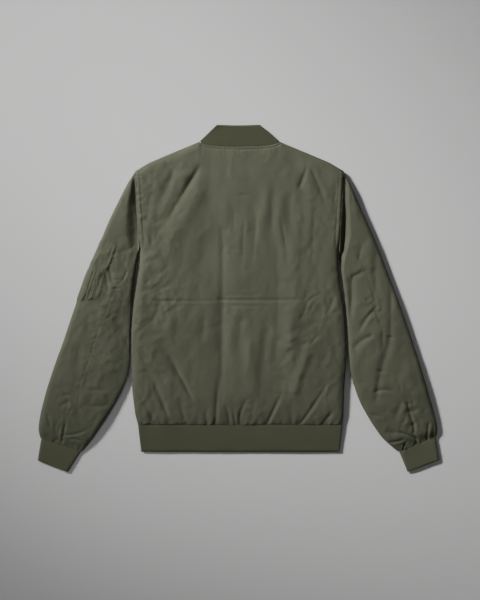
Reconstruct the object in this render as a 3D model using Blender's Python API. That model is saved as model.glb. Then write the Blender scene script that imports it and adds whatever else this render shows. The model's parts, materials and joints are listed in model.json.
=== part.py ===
"""A bomber jacket laid flat on its front, back upwards, as a Blender script.

Metres, +Z up, +X to the right of the laid-out back, +Y towards the collar. The jacket
rests on the plane z = 0 and the origin is under the middle of its outline. The
tables below are in millimetres, with heights along the jacket measured from the
hem's lower edge, as a tailor would; HEM_TO_ORIGIN moves them to the origin.

Every cloth piece is a wall between an outer surface and the thin air gap inside the
jacket. The back and the fronts lie on each other, so that gap is nearly closed.
"""

import math

import bmesh
import bpy
import numpy as np

MM = 0.001

# ---------------------------------------------------------------- driving sizes, mm
HEM_TO_ORIGIN = 329.0
SEAM_GAP = 0.3  # between two pieces that are sewn together
AIR_GAP = 1.6  # between the lower and the upper layer, inside the jacket
EDGE_WALL = 3.0  # how far the air gap stops short of a folded or seamed edge

HEM_BAND = 57.0
NECK_HALF_WIDTH = 86.0
NECK_POINT = 667.0
BACK_NECK = 655.5
FRONT_NECK = 578.0
SHOULDER_HALF_WIDTH = 224.0
SHOULDER_POINT = 603.0
UNDERARM_HALF_WIDTH = 214.0
UNDERARM = 436.0
COLLAR_TOP_HALF_WIDTH = 46.5
COLLAR_LEAN = -2.5  # its top edge lies a little to the left
COLLAR_TOP = 703.0
ZIP_CHANNEL = 7.0  # half the gap between the two front edges

BACK_WALL = 8.0  # padded shell over the air gap
SLEEVE_WALL = 9.0
RIB_WALL = 3.2
LEAST_WALL = 2.6

# Half outline of the body: height, left edge, right edge.
SIDES = (
    ("height", "left", "right"),
    (57, -219, 222),
    (80, -225, 224),
    (131, -231, 225),
    (209, -233, 231),
    (260, -233, 229),
    (312, -229, 225),
    (350, -223, 218),
    (395, -216, 213),
    (436, -214, 214),
)

# Height of the air gap's middle above the surface, along the jacket.
MIDDLE = (
    ("height", "level"),
    (0, 4.5),
    (57, 5.1),
    (85, 7.4),
    (115, 8.5),
    (592, 8.5),
    (630, 6.4),
    (667, 5.2),
    (703, 4.9),
)

# A sleeve lies along these lines, from its outer edge to its inner edge.
LEFT_SLEEVE = (
    ("outer x", "outer height", "inner x", "inner height", "level"),
    (-224, 603, -214, 436, 8.2),
    (-243, 573, -217, 424, 8.0),
    (-263, 533, -221, 406, 8.0),
    (-283, 492, -224, 384, 8.0),
    (-304, 441, -227, 358, 8.0),
    (-327, 389, -230, 333, 8.0),
    (-345, 338, -233, 306, 8.0),
    (-363, 286, -236, 262, 8.0),
    (-380, 234, -236, 214, 8.0),
    (-399, 183, -239, 162, 8.0),
    (-416, 131, -262, 112, 8.0),
    (-429, 80, -290, 66, 7.4),
    (-434, 46, -318, 24, 5.6),
    (-429, 28, -339, -1, 3.9),
)
RIGHT_SLEEVE = (
    ("outer x", "outer height", "inner x", "inner height", "level"),
    (224, 603, 214, 436, 8.2),
    (240, 573, 216, 424, 8.0),
    (257, 533, 218, 404, 8.0),
    (275, 492, 220, 380, 8.0),
    (298, 441, 223, 354, 8.0),
    (317, 389, 227, 328, 8.0),
    (337, 338, 230, 300, 8.0),
    (356, 286, 233, 262, 8.0),
    (373, 234, 235, 214, 8.0),
    (390, 183, 240, 160, 8.0),
    (405, 131, 257, 108, 8.0),
    (420, 80, 283, 62, 7.4),
    (427, 48, 310, 24, 5.6),
    (424, 32, 341, -1, 3.9),
)
# Cuffs: the lower edge's outer and inner corners; the upper edge is the sleeve's end.
LEFT_CUFF_END = ((-435, -20), (-370, -45))
RIGHT_CUFF_END = ((431, -19), (362, -45))

# The collar strip's free edge, by the share of the way from centre to neck point.
COLLAR_EDGE = (
    ("share", "front x", "front height", "back x", "back height"),
    (0.0, 9.5, 598, 0, 702),
    (0.3, 18, 609, 14, 702),
    (0.6, 29, 636, 28, 702.5),
    (0.85, 38, 672, 39, COLLAR_TOP),
    (1.0, COLLAR_TOP_HALF_WIDTH, COLLAR_TOP, COLLAR_TOP_HALF_WIDTH, COLLAR_TOP),
)

# The deepest folds, each a trough from one point to another.
BACK_FOLDS = (
    ("from x", "from height", "to x", "to height", "half width", "depth"),
    (-80, 622, -158, 472, 13, 4.6),
    (-146, 608, -184, 520, 12, 2.6),
    (141, 600, 118, 552, 9, 2.4),
    (-38, 486, -40, 90, 8, 1.6),
    (80, 520, 74, 140, 10, 1.2),
    (-190, 327, 150, 327, 7, 1.4),
    (-166, 226, -104, 100, 10, 2.2),
    (-198, 214, -152, 70, 10, 2.2),
    (-44, 186, -51, 66, 9, 3.2),
    (104, 140, 64, 62, 11, 4.6),
    (171, 243, 130, 127, 15, 2.6),
    (208, 162, 138, 62, 11, 4.2),
)
FRONT_FOLDS = (
    ("from x", "from height", "to x", "to height", "half width", "depth"),
    (-170, 190, -120, 70, 12, 3.0),
    (-75, 150, -60, 66, 11, 3.0),
    (82, 160, 62, 66, 11, 3.0),
    (176, 200, 128, 72, 12, 3.0),
    (-196, 420, -120, 350, 14, 2.6),
    (196, 415, 130, 350, 14, 2.6),
)
BACK_SEAMS = (  # each sleeve's back seam: its share of the way from outer to inner edge
    ("down", "left", "right"),
    (0.0, 0.86, 0.62),
    (0.15, 0.76, 0.52),
    (0.31, 0.68, 0.45),
    (0.42, 0.61, 0.41),
    (0.5, 0.55, 0.42),
    (0.59, 0.47, 0.43),
    (0.68, 0.43, 0.40),
    (0.8, 0.43, 0.36),
    (0.9, 0.45, 0.40),
    (1.0, 0.47, 0.48),
)

LEFT_SLEEVE_FOLDS = (
    ("from x", "from height", "to x", "to height", "half width", "depth"),
    (-232, 580, -227, 452, 10, 4.2),
    (-292, 318, -240, 246, 13, 4.4),
    (-318, 132, -266, 141, 10, 2.8),
    (-362, 30, -310, 47, 9, 2.6),
)
RIGHT_SLEEVE_FOLDS = (
    ("from x", "from height", "to x", "to height", "half width", "depth"),
    (233, 574, 230, 440, 10, 4.2),
    (228, 378, 266, 393, 13, 4.0),
    (240, 217, 300, 262, 12, 3.4),
    (319, 325, 289, 150, 14, 3.0),
    (281, 127, 338, 136, 10, 2.6),
    (322, 62, 382, 32, 9, 2.4),
)

# The utility pocket on the wearer's left sleeve and the pen pocket on it. The first four
# are rows of LEFT_SLEEVE, the last is the share of the sleeve's width.
SLEEVE_POCKET = (3.75, 6.3, 3.05, 6.0, 0.38)  # top, foot at the fold; top, foot at the rear
PEN_POCKET = (5.0, 6.2, 4.75, 6.05, 0.27)
POCKET_CLEARANCE = 0.8
POCKET_PATCH = 1.2
PEN_PATCH = 1.4

# The front zip.
TAPE_WIDTH = 13.0
TAPE_THICKNESS = 0.8
TAPE_BELOW_MIDDLE = 1.9
CHAIN_HALF_WIDTH = 2.6
CHAIN_THICKNESS = 2.8
ZIP_FOOT = 2.0
SLIDER_LENGTH = 14.0
SLIDER_HALF_WIDTH = 4.6
SLIDER_PLATE = 1.0
TAB_LENGTH = 30.0
TAB_THICKNESS = 1.4
TAB_TILT = 3.4  # degrees: its end lies on the surface
HINGE_HEIGHT = 2.9
UNDER_TAPE = TAPE_BELOW_MIDDLE + TAPE_THICKNESS / 2 + SEAM_GAP  # what the tape needs


# ---------------------------------------------------------------- small tools
def column(table, name):
    return np.array([row[table[0].index(name)] for row in table[1:]], float)


def along(table, key, name, at):
    """A table's column read at any value of its key, joined by straight lines."""
    return np.interp(at, column(table, key), column(table, name))


def rounded(distance, radius):
    """0 at an edge and 1 a radius away from it, as a quarter circle."""
    share = np.clip(np.asarray(distance, float) / radius, 0, 1)
    return np.sqrt(np.clip(1 - (1 - share) ** 2, 0, 1))


def eased(value, low, high):
    share = np.clip((np.asarray(value, float) - low) / (high - low), 0, 1)
    return share * share * (3 - 2 * share)


def troughs(x, y, table):
    """How deep the folds of a table are at points x, y."""
    depth = np.zeros(np.broadcast(x, y).shape)
    for x0, y0, x1, y1, half_width, deepest in table[1:]:
        dx, dy = x1 - x0, y1 - y0
        length = math.hypot(dx, dy)
        share = ((x - x0) * dx + (y - y0) * dy) / length**2
        across = ((x - x0) * dy - (y - y0) * dx) / length
        past = np.clip(np.abs(share - 0.5) - 0.5, 0, None) * length
        fade = 0.35 + 0.65 * np.sin(np.pi * np.clip(share, 0, 1))
        bell = np.exp(-(across**2 + past**2) / half_width**2)
        depth += deepest * fade * np.clip(1.03 * bell - 0.03, 0, None)
    return depth


def level_of(height):
    return along(MIDDLE, "height", "level", height)


def cloth(name, colour, roughness, metallic=0.0):
    material = bpy.data.materials.new(name)
    material.use_nodes = True
    surface = material.node_tree.nodes["Principled BSDF"]
    surface.inputs["Base Color"].default_value = (*colour, 1.0)
    surface.inputs["Roughness"].default_value = roughness
    surface.inputs["Metallic"].default_value = metallic
    return material


def wall(name, outer, inner, material, closed=False):
    """A closed wall between two grids of points, in millimetres; closed joins its sides."""
    outer, inner = np.asarray(outer, float), np.asarray(inner, float)
    rows, columns = outer.shape[:2]
    mesh = bmesh.new()

    def add(grid):
        placed = (grid - [0, HEM_TO_ORIGIN, 0]) * MM
        return [[mesh.verts.new(p) for p in line] for line in placed]

    out, into = add(outer), add(inner)
    steps = rows if closed else rows - 1
    for i in range(steps):
        after = (i + 1) % rows
        for j in range(columns - 1):
            mesh.faces.new((out[i][j], out[after][j], out[after][j + 1], out[i][j + 1]))
            mesh.faces.new((into[i][j], into[i][j + 1], into[after][j + 1], into[after][j]))
        for j, turn in ((0, 1), (columns - 1, -1)):
            rim = (out[i][j], into[i][j], into[after][j], out[after][j])
            mesh.faces.new(rim[::turn])
    if not closed:
        for i, turn in ((0, -1), (rows - 1, 1)):
            for j in range(columns - 1):
                rim = (out[i][j], into[i][j], into[i][j + 1], out[i][j + 1])
                mesh.faces.new(rim[::turn])
    bmesh.ops.recalc_face_normals(mesh, faces=mesh.faces)
    data = bpy.data.meshes.new(name)
    mesh.to_mesh(data)
    mesh.free()
    data.shade_smooth()
    data.set_sharp_from_angle(angle=math.radians(40))
    data.materials.append(material)
    made = bpy.data.objects.new(name, data)
    bpy.context.scene.collection.objects.link(made)
    return made


def points(x, y, z):
    return np.stack(np.broadcast_arrays(x, y, z), axis=-1).astype(float)


# ---------------------------------------------------------------- the body
def side_edge(height, side):
    """The body's edge; over the underarm it is the straight armhole seam."""
    share = np.clip((height - UNDERARM) / (SHOULDER_POINT - UNDERARM), 0, 1)
    armhole = UNDERARM_HALF_WIDTH + share * (SHOULDER_HALF_WIDTH - UNDERARM_HALF_WIDTH)
    lower = along(SIDES, "height", "left" if side < 0 else "right", height)
    return np.where(height > UNDERARM, side * armhole, lower)


def neck_curve(x, depth):
    """The neckline's height: a half ellipse that hangs depth below the neck points."""
    share = np.clip(np.abs(x) / NECK_HALF_WIDTH, 0, 1)
    return NECK_POINT - depth * np.sqrt(np.clip(1 - share**2.4, 0, 1))


def top_edge(x, depth):
    shoulder = np.interp(
        np.abs(x),
        (NECK_HALF_WIDTH, 195, SHOULDER_HALF_WIDTH),
        (NECK_POINT, 621, SHOULDER_POINT),
    )
    return np.where(np.abs(x) < NECK_HALF_WIDTH, neck_curve(x, depth), shoulder)


def body_rows():
    """Shares of the way from hem seam to shoulder, with a row at the underarm."""
    underarm = (UNDERARM - HEM_BAND) / (SHOULDER_POINT - HEM_BAND)
    return np.concatenate(
        [np.linspace(0, underarm, 15), np.linspace(underarm, 1, 8)[1:]]
    )


def shoulder_columns():
    """Distances from the centre line at shoulder height, neck point to armhole."""
    return np.linspace(NECK_HALF_WIDTH, SHOULDER_HALF_WIDTH, 8)


def back_neck_columns():
    return np.linspace(-NECK_HALF_WIDTH, NECK_HALF_WIDTH, 11)


def front_neck_columns():
    return np.linspace(ZIP_CHANNEL, NECK_HALF_WIDTH, 6)


def body_grid(top_x, side_of, inset, depth, centre):
    """Points of a body panel in plan. top_x is each column's place along the top edge."""
    rows = body_rows()[None, :]
    top = top_edge(top_x, depth)[:, None]
    foot = HEM_BAND + SEAM_GAP / 2
    y = foot + rows * (top - SEAM_GAP / 2 - foot)
    edge = np.where(side_of[:, None] < 0, side_edge(y, -1), side_edge(y, 1))
    edge = edge - np.sign(side_of[:, None]) * SEAM_GAP / 2
    share = (np.abs(top_x) - centre) / (SHOULDER_HALF_WIDTH - centre)
    share = np.clip(share, 0, 1)[:, None]
    x = side_of[:, None] * centre * (1 - share) + edge * share
    reach = np.abs(edge - x)
    drop = (top - y) * math.cos(math.atan2(63, 138))
    on_shoulder = (np.abs(top_x) >= NECK_HALF_WIDTH)[:, None]
    # Distances to the sewn edges, and the same grid held back from them for the inside.
    distances = {
        "side": reach,
        "shoulder": np.where(on_shoulder, drop, 1e3),
        "neck": np.where(on_shoulder, 1e3, top - y),
        "hem": y - HEM_BAND,
        "underarm": y,
    }
    inner_x = np.where(reach < inset, edge - np.sign(side_of[:, None]) * inset, x)
    inner_y = np.where(on_shoulder & (drop < inset), top - inset / math.cos(0.43), y)
    return x, y, inner_x, inner_y, distances


def seam_factor(d):
    """How far the outer surface has risen from the seamed edges: 0 at them, 1 inside."""
    below = 1 - eased(d["underarm"], UNDERARM - 6, UNDERARM + 22)
    side = 1 - (1 - rounded(d["side"], 20)) * (0.22 + 0.78 * below)
    return side * rounded(d["shoulder"], 18)


def back_panel(material):
    neck = back_neck_columns()
    shoulder = shoulder_columns()
    top_x = np.concatenate([-shoulder[::-1], neck[1:-1], shoulder])
    depth = NECK_POINT - BACK_NECK
    side_of = np.where(top_x < 0, -1.0, 1.0)
    x, y, inner_x, inner_y, d = body_grid(top_x, side_of, EDGE_WALL, depth, 0.0)
    level = level_of(y)
    neck_fall = 0.5 + 0.5 * rounded(d["neck"], 34)
    hem_fall = 0.55 + 0.45 * rounded(d["hem"], 30)
    rise = BACK_WALL * seam_factor(d) * neck_fall * hem_fall
    rise = rise - troughs(x, y, BACK_FOLDS) * np.clip(seam_factor(d), 0, 1)
    least = LEAST_WALL * rounded(np.minimum(d["side"], d["shoulder"]), 9)
    least = np.where((d["side"] < 9) & (y > UNDERARM), LEAST_WALL, least)
    floor = AIR_GAP / 2 + least
    top = level + np.maximum(rise, np.where(rise < floor, np.minimum(floor, rise + least), rise))
    top = np.maximum(top, level + SEAM_GAP / 2)
    inner_z = level + AIR_GAP / 2 * inner_share(d) + SEAM_GAP / 2 * (1 - inner_share(d))
    outer = points(x, y, top)
    return wall("back", outer, points(inner_x, inner_y, inner_z), material)


def inner_share(d):
    """1 where the air gap has its full height, 0 at a seamed edge."""
    open_side = eased(d["underarm"], UNDERARM - 1, UNDERARM + 1)
    side = np.maximum(rounded(d["side"] - EDGE_WALL, 8), open_side)
    return side * rounded(d["shoulder"] - EDGE_WALL, 8)


def front_panel(name, side, material):
    neck = front_neck_columns()
    top_x = side * np.concatenate([neck[:-1], shoulder_columns()])
    depth = NECK_POINT - FRONT_NECK
    side_of = np.full(len(top_x), float(side))
    x, y, inner_x, inner_y, d = body_grid(
        top_x, side_of, EDGE_WALL, depth, ZIP_CHANNEL
    )
    level = level_of(y)
    centre = np.abs(x) - ZIP_CHANNEL
    fall = level * seam_factor(d) * (0.72 + 0.28 * rounded(centre, 6))
    bottom = level - fall
    lifted = troughs(x, y, FRONT_FOLDS) * eased(d["side"], 10, 30) * eased(centre, 14, 30)
    bottom = bottom + np.minimum(lifted, np.clip(level - AIR_GAP / 2 - LEAST_WALL, 0, None))
    bottom = np.minimum(bottom, level - SEAM_GAP / 2)
    past_tape = eased(centre, TAPE_WIDTH + 3, TAPE_WIDTH + 18)
    for_tape = (1 - past_tape) * (UNDER_TAPE - AIR_GAP / 2)
    share = inner_share(d)
    inner_z = level - AIR_GAP / 2 * share - SEAM_GAP / 2 * (1 - share) - for_tape
    return wall(name, points(x, y, bottom), points(inner_x, inner_y, inner_z), material)


# ---------------------------------------------------------------- the sleeves
def sleeve_lines(table, rows, share):
    """A sleeve's plan at any row and share: the point, the way from its outer edge to
    its inner one, and the level of its middle. Rows count down the sleeve from the armhole."""
    rows, share = np.broadcast_arrays(rows, share)
    at = np.arange(len(table) - 1)
    read = {name: np.interp(rows, at, column(table, name)) for name in table[0]}
    outer = np.stack([read["outer x"], read["outer height"]], axis=-1)
    across = np.stack([read["inner x"], read["inner height"]], axis=-1) - outer
    plan = outer + across * share[..., None]
    joined = 1 - eased(rows, 0, 1.5)
    level = level_of(plan[..., 1]) * joined + read["level"] * (1 - joined)
    return plan, across, level


def sleeve_surface(table, folds, rows, share, upper, lift=0.0):
    """Points on a sleeve. share runs from its outer edge, 0, to its inner edge, 1."""
    plan, across, level = sleeve_lines(table, rows, share)
    edge = np.minimum(share, 1 - share) * np.linalg.norm(across, axis=-1)
    if not upper:
        return points(plan[..., 0], plan[..., 1], level * (1 - rounded(edge, 20)))
    narrow = 1 - 0.52 * eased(rows / (len(table) - 2), 0.90, 1.0)
    swell = SLEEVE_WALL * rounded(edge, 38) ** 0.8 * narrow
    rise = swell - troughs(plan[..., 0], plan[..., 1], folds) * rounded(edge, 26)
    rise = np.maximum(rise, (AIR_GAP / 2 + LEAST_WALL) * rounded(edge, 9))
    rise = np.minimum(rise, SLEEVE_WALL * narrow) + lift * rounded(edge, 6)
    return points(plan[..., 0], plan[..., 1], level + rise)


def sleeve_inside(table, rows, share, upper):
    """The air gap's surface under a point on a sleeve, held back from the folded edges."""
    across = sleeve_lines(table, rows, share)[1]
    width = np.linalg.norm(across, axis=-1)
    held = np.clip(share, EDGE_WALL / width, 1 - EDGE_WALL / width)
    plan, _, level = sleeve_lines(table, rows, held)
    edge = np.minimum(held, 1 - held) * width - EDGE_WALL
    half = AIR_GAP / 2 * rounded(edge, 6)
    return points(plan[..., 0], plan[..., 1], level + (half if upper else -half))


def seam_share(down, side):
    """Where a sleeve's back seam runs between its outer and inner edge."""
    return along(BACK_SEAMS, "down", "left" if side < 0 else "right", down)


def sleeve_panel(name, table, folds, outer_half, side, material):
    """One of a sleeve's two pieces, between its back seam above and its front seam below."""
    last = len(table) - 2
    rows = np.linspace(0, last, 19)[:, None]
    width = np.linalg.norm(sleeve_lines(table, rows, 0.0)[1], axis=-1)
    turn = 1 - np.cos(np.linspace(0, math.pi / 2, 7))[None, :]
    half_gap = SEAM_GAP / 1.3 / width
    back_seam = seam_share(rows / last, side)
    if outer_half:
        upper = (back_seam - half_gap) * turn
        lower = (0.5 - half_gap) * turn
    else:
        upper = 1 - (1 - back_seam - half_gap) * turn
        lower = 1 - (0.5 - half_gap) * turn
    above = sleeve_surface(table, folds, rows, upper, True), sleeve_inside(table, rows, upper, True)
    below = sleeve_surface(table, folds, rows, lower, False), sleeve_inside(table, rows, lower, False)
    surfaces = [np.concatenate([a[:, ::-1], b[:, 1:]], axis=1) for a, b in zip(above, below)]
    for grid in surfaces:
        grid[0, :, 0] += side * SEAM_GAP / 2
        back = grid[-2] - grid[-1]
        grid[-1] += back / np.linalg.norm(back, axis=-1, keepdims=True) * SEAM_GAP / 2
    return wall(name, surfaces[0], surfaces[1], material)


# ---------------------------------------------------------------- knitted ribs
def cuff(name, table, end, material):
    """A flattened tube of rib from the sleeve's end to the cuff's edge."""
    top = [np.array(table[-1][0:2], float), np.array(table[-1][2:4], float)]
    top[0] += (top[1] - top[0]) * 0.02
    top[1] += (top[0] - top[1]) * 0.03
    foot = [np.array(end[0], float), np.array(end[1], float)]
    down = foot[0] + foot[1] - top[0] - top[1]
    top = [p + down / np.linalg.norm(down) * SEAM_GAP / 2 for p in top]
    turn = np.linspace(0, 2 * math.pi, 25)[:-1]
    share = 0.5 - 0.5 * np.cos(turn)
    above = np.where(turn <= math.pi, 1.0, -1.0)
    outer, inner = [], []
    for along_cuff in np.linspace(0, 1, 4):
        a = top[0] + (foot[0] - top[0]) * along_cuff
        b = top[1] + (foot[1] - top[1]) * along_cuff
        width = np.linalg.norm(b - a)
        level = RIB_WALL + AIR_GAP / 4
        edge = np.minimum(share, 1 - share) * width
        plan = a + (b - a) * share[:, None]
        outer.append(points(plan[:, 0], plan[:, 1], level + above * level * rounded(edge, 9)))
        held = np.clip(share, EDGE_WALL / width, 1 - EDGE_WALL / width)
        plan = a + (b - a) * held[:, None]
        edge = np.minimum(held, 1 - held) * width - EDGE_WALL
        gap = above * AIR_GAP / 4 * rounded(edge, 4)
        gap = np.where((share < 0.5) & (edge <= 0), 0, gap)
        inner.append(points(plan[:, 0], plan[:, 1], level + gap))
    outer, inner = np.array(outer).swapaxes(0, 1), np.array(inner).swapaxes(0, 1)
    return wall(name, outer, inner, material, closed=True)


def strip(name, stations, material):
    """A rib strip that lies in two layers. Each station has its low and its high end in
    plan, which way it faces (-1 under, 0 on the fold, 1 above) and both ends' levels."""
    outer, inner = [], []
    for low, high, facing, levels, held, thick, *hollow in stations:
        hollow = hollow[0] if hollow else AIR_GAP / 4
        out, into = [], []
        for share in np.linspace(0, 1, 4):
            plan = np.array(low) + (np.array(high) - np.array(low)) * share
            level = levels[0] + (levels[1] - levels[0]) * share
            out.append((*plan, level + facing * (thick if facing > 0 else level)))
            into.append((*(plan + held), level + np.sign(facing) * hollow))
        outer.append(out)
        inner.append(into)
    return wall(name, outer, inner, material)


def fold_stations(low, high, levels, side, thick):
    """The stations that turn a strip round its fold, from the lower to the upper layer."""
    made = []
    for facing, back in ((-0.75, 2.2), (-0.4, 0.6), (0.0, 0.0), (0.4, 0.6), (0.75, 2.2)):
        shift = np.array([-side * back, 0.0])
        held = np.array([-side * max(EDGE_WALL - back, 0.6), 0.0])
        made.append((low + shift, high + shift, facing, levels, held, thick))
    return made


def hem_band(material):
    levels = (level_of(0.0), level_of(HEM_BAND))
    top = HEM_BAND - SEAM_GAP / 2
    corners = {}
    for side, name in ((-1, "left"), (1, "right")):
        edge = along(SIDES, "height", name, HEM_BAND)
        corners[side] = (np.array([edge - side * 7, 0.0]), np.array([edge, top]))
    none = np.zeros(2)
    stations = []
    for side in (-1, 1):
        low, high = corners[side]
        run = []
        for x, hollow in (
            (ZIP_CHANNEL, UNDER_TAPE),
            (ZIP_CHANNEL + TAPE_WIDTH - 3, UNDER_TAPE),
            (ZIP_CHANNEL + TAPE_WIDTH + 2, AIR_GAP / 4),
            (90, AIR_GAP / 4),
            (150, AIR_GAP / 4),
            (202, AIR_GAP / 4),
        ):
            a, b = np.array([side * x, 0.0]), np.array([side * x, top])
            run.append((a, b, -1.0, levels, none, RIB_WALL, hollow))
        run += fold_stations(low, high, levels, side, RIB_WALL)
        stations.append(run)
    across = []
    for share in np.linspace(0.02, 0.98, 15):
        a = corners[-1][0] + (corners[1][0] - corners[-1][0]) * share
        b = corners[-1][1] + (corners[1][1] - corners[-1][1]) * share
        across.append((a, b, 1.0, levels, none, RIB_WALL + 0.2))
    return strip("hem_band", stations[0] + across + stations[1][::-1], material)


def collar(material):
    none = np.zeros(2)
    levels = (level_of(NECK_POINT), level_of(COLLAR_TOP))

    def ends(seam_x, part, depth, side):
        share = seam_x / NECK_HALF_WIDTH
        slope = neck_curve(seam_x + 0.5, depth) - neck_curve(seam_x - 0.5, depth)
        clear = SEAM_GAP / math.hypot(1, slope)
        low = [
            side * (seam_x - clear * slope * min(1, seam_x / 20)),
            float(neck_curve(seam_x, depth)) + clear,
        ]
        high = [
            side * along(COLLAR_EDGE, "share", f"{part} x", share) + COLLAR_LEAN,
            along(COLLAR_EDGE, "share", f"{part} height", share),
        ]
        return np.array(low), np.array(high)

    halves = []
    for side in (-1, 1):
        run = []
        for seam_x in front_neck_columns()[:-1]:
            low, high = ends(seam_x, "front", NECK_POINT - FRONT_NECK, side)
            run.append((low, high, -1.0, levels, none, RIB_WALL))
        low, high = ends(NECK_HALF_WIDTH, "back", 0, side)
        run += fold_stations(low, high, levels, side, RIB_WALL)
        for seam_x in back_neck_columns()[-2:4:-1]:
            low, high = ends(seam_x, "back", NECK_POINT - BACK_NECK, side)
            run.append((low, high, 1.0, levels, none, RIB_WALL))
        halves.append(run)
    return strip("collar", halves[0] + halves[1][-2::-1], material)


# ---------------------------------------------------------------- sleeve pocket
def pocket_patch(name, corners, thickness, under, material):
    """A patch on the left sleeve's outer half that starts at its folded edge. Its
    corners are rows of the sleeve: top and foot at the fold, top and foot at the rear."""
    top_fold, foot_fold, top_rear, foot_rear, rear = corners
    turn = 1 - np.cos(np.linspace(0, math.pi / 2, 6))[None, :]
    down = np.linspace(0, 1, 7)[:, None]
    first = top_fold + (top_rear - top_fold) * turn
    last = foot_fold + (foot_rear - foot_fold) * turn
    rows, share = first + (last - first) * down, rear * turn + 0 * down
    across = sleeve_lines(LEFT_SLEEVE, rows, share)[1]
    outward = -across / np.linalg.norm(across, axis=-1, keepdims=True)
    round_edge = (1 - eased(share, 0.0, 0.035))[..., None]
    grids = []
    for lift in (under + thickness, under):
        grid = sleeve_surface(LEFT_SLEEVE, LEFT_SLEEVE_FOLDS, rows, share, True, lift)
        grid[..., :2] += outward * round_edge * lift
        grids.append(grid[:, ::-1])
    return wall(name, grids[0], grids[1], material)


# ---------------------------------------------------------------- the front zip
def zip_heights():
    foot, head = ZIP_FOOT, FRONT_NECK - 1.0
    return np.concatenate([[foot, 40, 57, 70, 85, 100, 115], np.linspace(200, head, 5)])


def bar(name, x0, x1, heights, middle, thickness, material):
    """A strip along the zip that follows the jacket's level."""
    level = level_of(heights) - TAPE_BELOW_MIDDLE + middle
    low, high = level - thickness / 2, level + thickness / 2
    outer = np.stack([points(x0, heights, low), points(x1, heights, low)])
    inner = np.stack([points(x0, heights, high), points(x1, heights, high)])
    return wall(name, outer, inner, material)


def block(mesh, x, y, z):
    """A box between the given pairs of limits, in millimetres, added to a bmesh."""
    made = bmesh.ops.create_cube(mesh, size=1.0)
    for vert in made["verts"]:
        for axis, (low, high) in enumerate((x, y, z)):
            vert.co[axis] = (low + high) / 2 + vert.co[axis] * (high - low)


def hard_piece(name, blocks, material, bevel, place=(0, 0, 0), tilt=0.0):
    """Boxes joined into one piece by a union, with softened edges."""
    pieces = []
    for number, box in enumerate(blocks):
        mesh = bmesh.new()
        block(mesh, *box)
        bmesh.ops.scale(mesh, vec=(MM, MM, MM), verts=mesh.verts)
        data = bpy.data.meshes.new(f"{name}_{number}")
        mesh.to_mesh(data)
        mesh.free()
        pieces.append(bpy.data.objects.new(data.name, data))
        bpy.context.scene.collection.objects.link(pieces[-1])
    body = pieces[0]
    body.name = name
    body.data.materials.append(material)
    for other in pieces[1:]:
        join = body.modifiers.new(other.name, "BOOLEAN")
        join.operation = "UNION"
        join.object = other
        other.hide_render = True
        other.display_type = "WIRE"
        other.parent = body
    soften = body.modifiers.new("soften", "BEVEL")
    soften.width = bevel * MM
    soften.segments = 1
    soften.limit_method = "ANGLE"
    body.location = (place[0] * MM, (place[1] - HEM_TO_ORIGIN) * MM, place[2] * MM)
    body.rotation_euler = (math.radians(tilt), 0, 0)
    return body


def front_zip(tape, metal):
    heights = zip_heights()
    for side, name in ((-1, "zip_tape_left"), (1, "zip_tape_right")):
        inside = side * (CHAIN_HALF_WIDTH + SEAM_GAP)
        outside = side * (ZIP_CHANNEL + TAPE_WIDTH - 3)
        low, high = sorted((inside, outside))
        bar(name, low, high, heights, 0.0, TAPE_THICKNESS, tape)
    slider_head = FRONT_NECK - 5.0
    slider_foot = slider_head - SLIDER_LENGTH
    chain = heights[heights < slider_foot - 1]
    chain = np.append(chain, slider_foot - SEAM_GAP)
    bar("zip_chain", -CHAIN_HALF_WIDTH, CHAIN_HALF_WIDTH, chain, 0.0, CHAIN_THICKNESS, metal)

    level = float(level_of(slider_foot)) - TAPE_BELOW_MIDDLE
    half = CHAIN_THICKNESS / 2 + SLIDER_PLATE
    wide, inner_wide = SLIDER_HALF_WIDTH, CHAIN_HALF_WIDTH - 0.4
    run = (-SLIDER_LENGTH, 0)
    outside = level - half
    arch = (HINGE_HEIGHT - 1.9, HINGE_HEIGHT - 1.1)
    blocks = (
        ((-wide, wide), run, (outside, outside + SLIDER_PLATE)),
        ((-wide, wide), run, (level + half - SLIDER_PLATE, level + half)),
        ((-inner_wide, inner_wide), run, (outside + 0.2, level + half - 0.2)),
        ((-1.3, 1.3), (-4.0, -3.0), (arch[0], outside + 0.3)),
        ((-1.3, 1.3), (-10.4, -9.4), (arch[0], outside + 0.3)),
        ((-1.3, 1.3), (-10.4, -3.0), arch),
    )
    hard_piece("zip_slider", blocks, metal, 0.15, (0, slider_head, 0))

    thick = TAB_THICKNESS / 2
    eye = (
        ((-2.9, 2.9), (-0.9, 0.9), (-thick, thick)),
        ((-2.9, -1.7), (-11.5, 0.9), (-thick, thick)),
        ((1.7, 2.9), (-11.5, 0.9), (-thick, thick)),
        ((-2.9, 2.9), (-TAB_LENGTH, -9.5), (-thick, thick)),
    )
    hinge = (0, slider_head - 5.2, HINGE_HEIGHT)
    hard_piece("zip_pull", eye, metal, 0.2, hinge, TAB_TILT)


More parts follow.
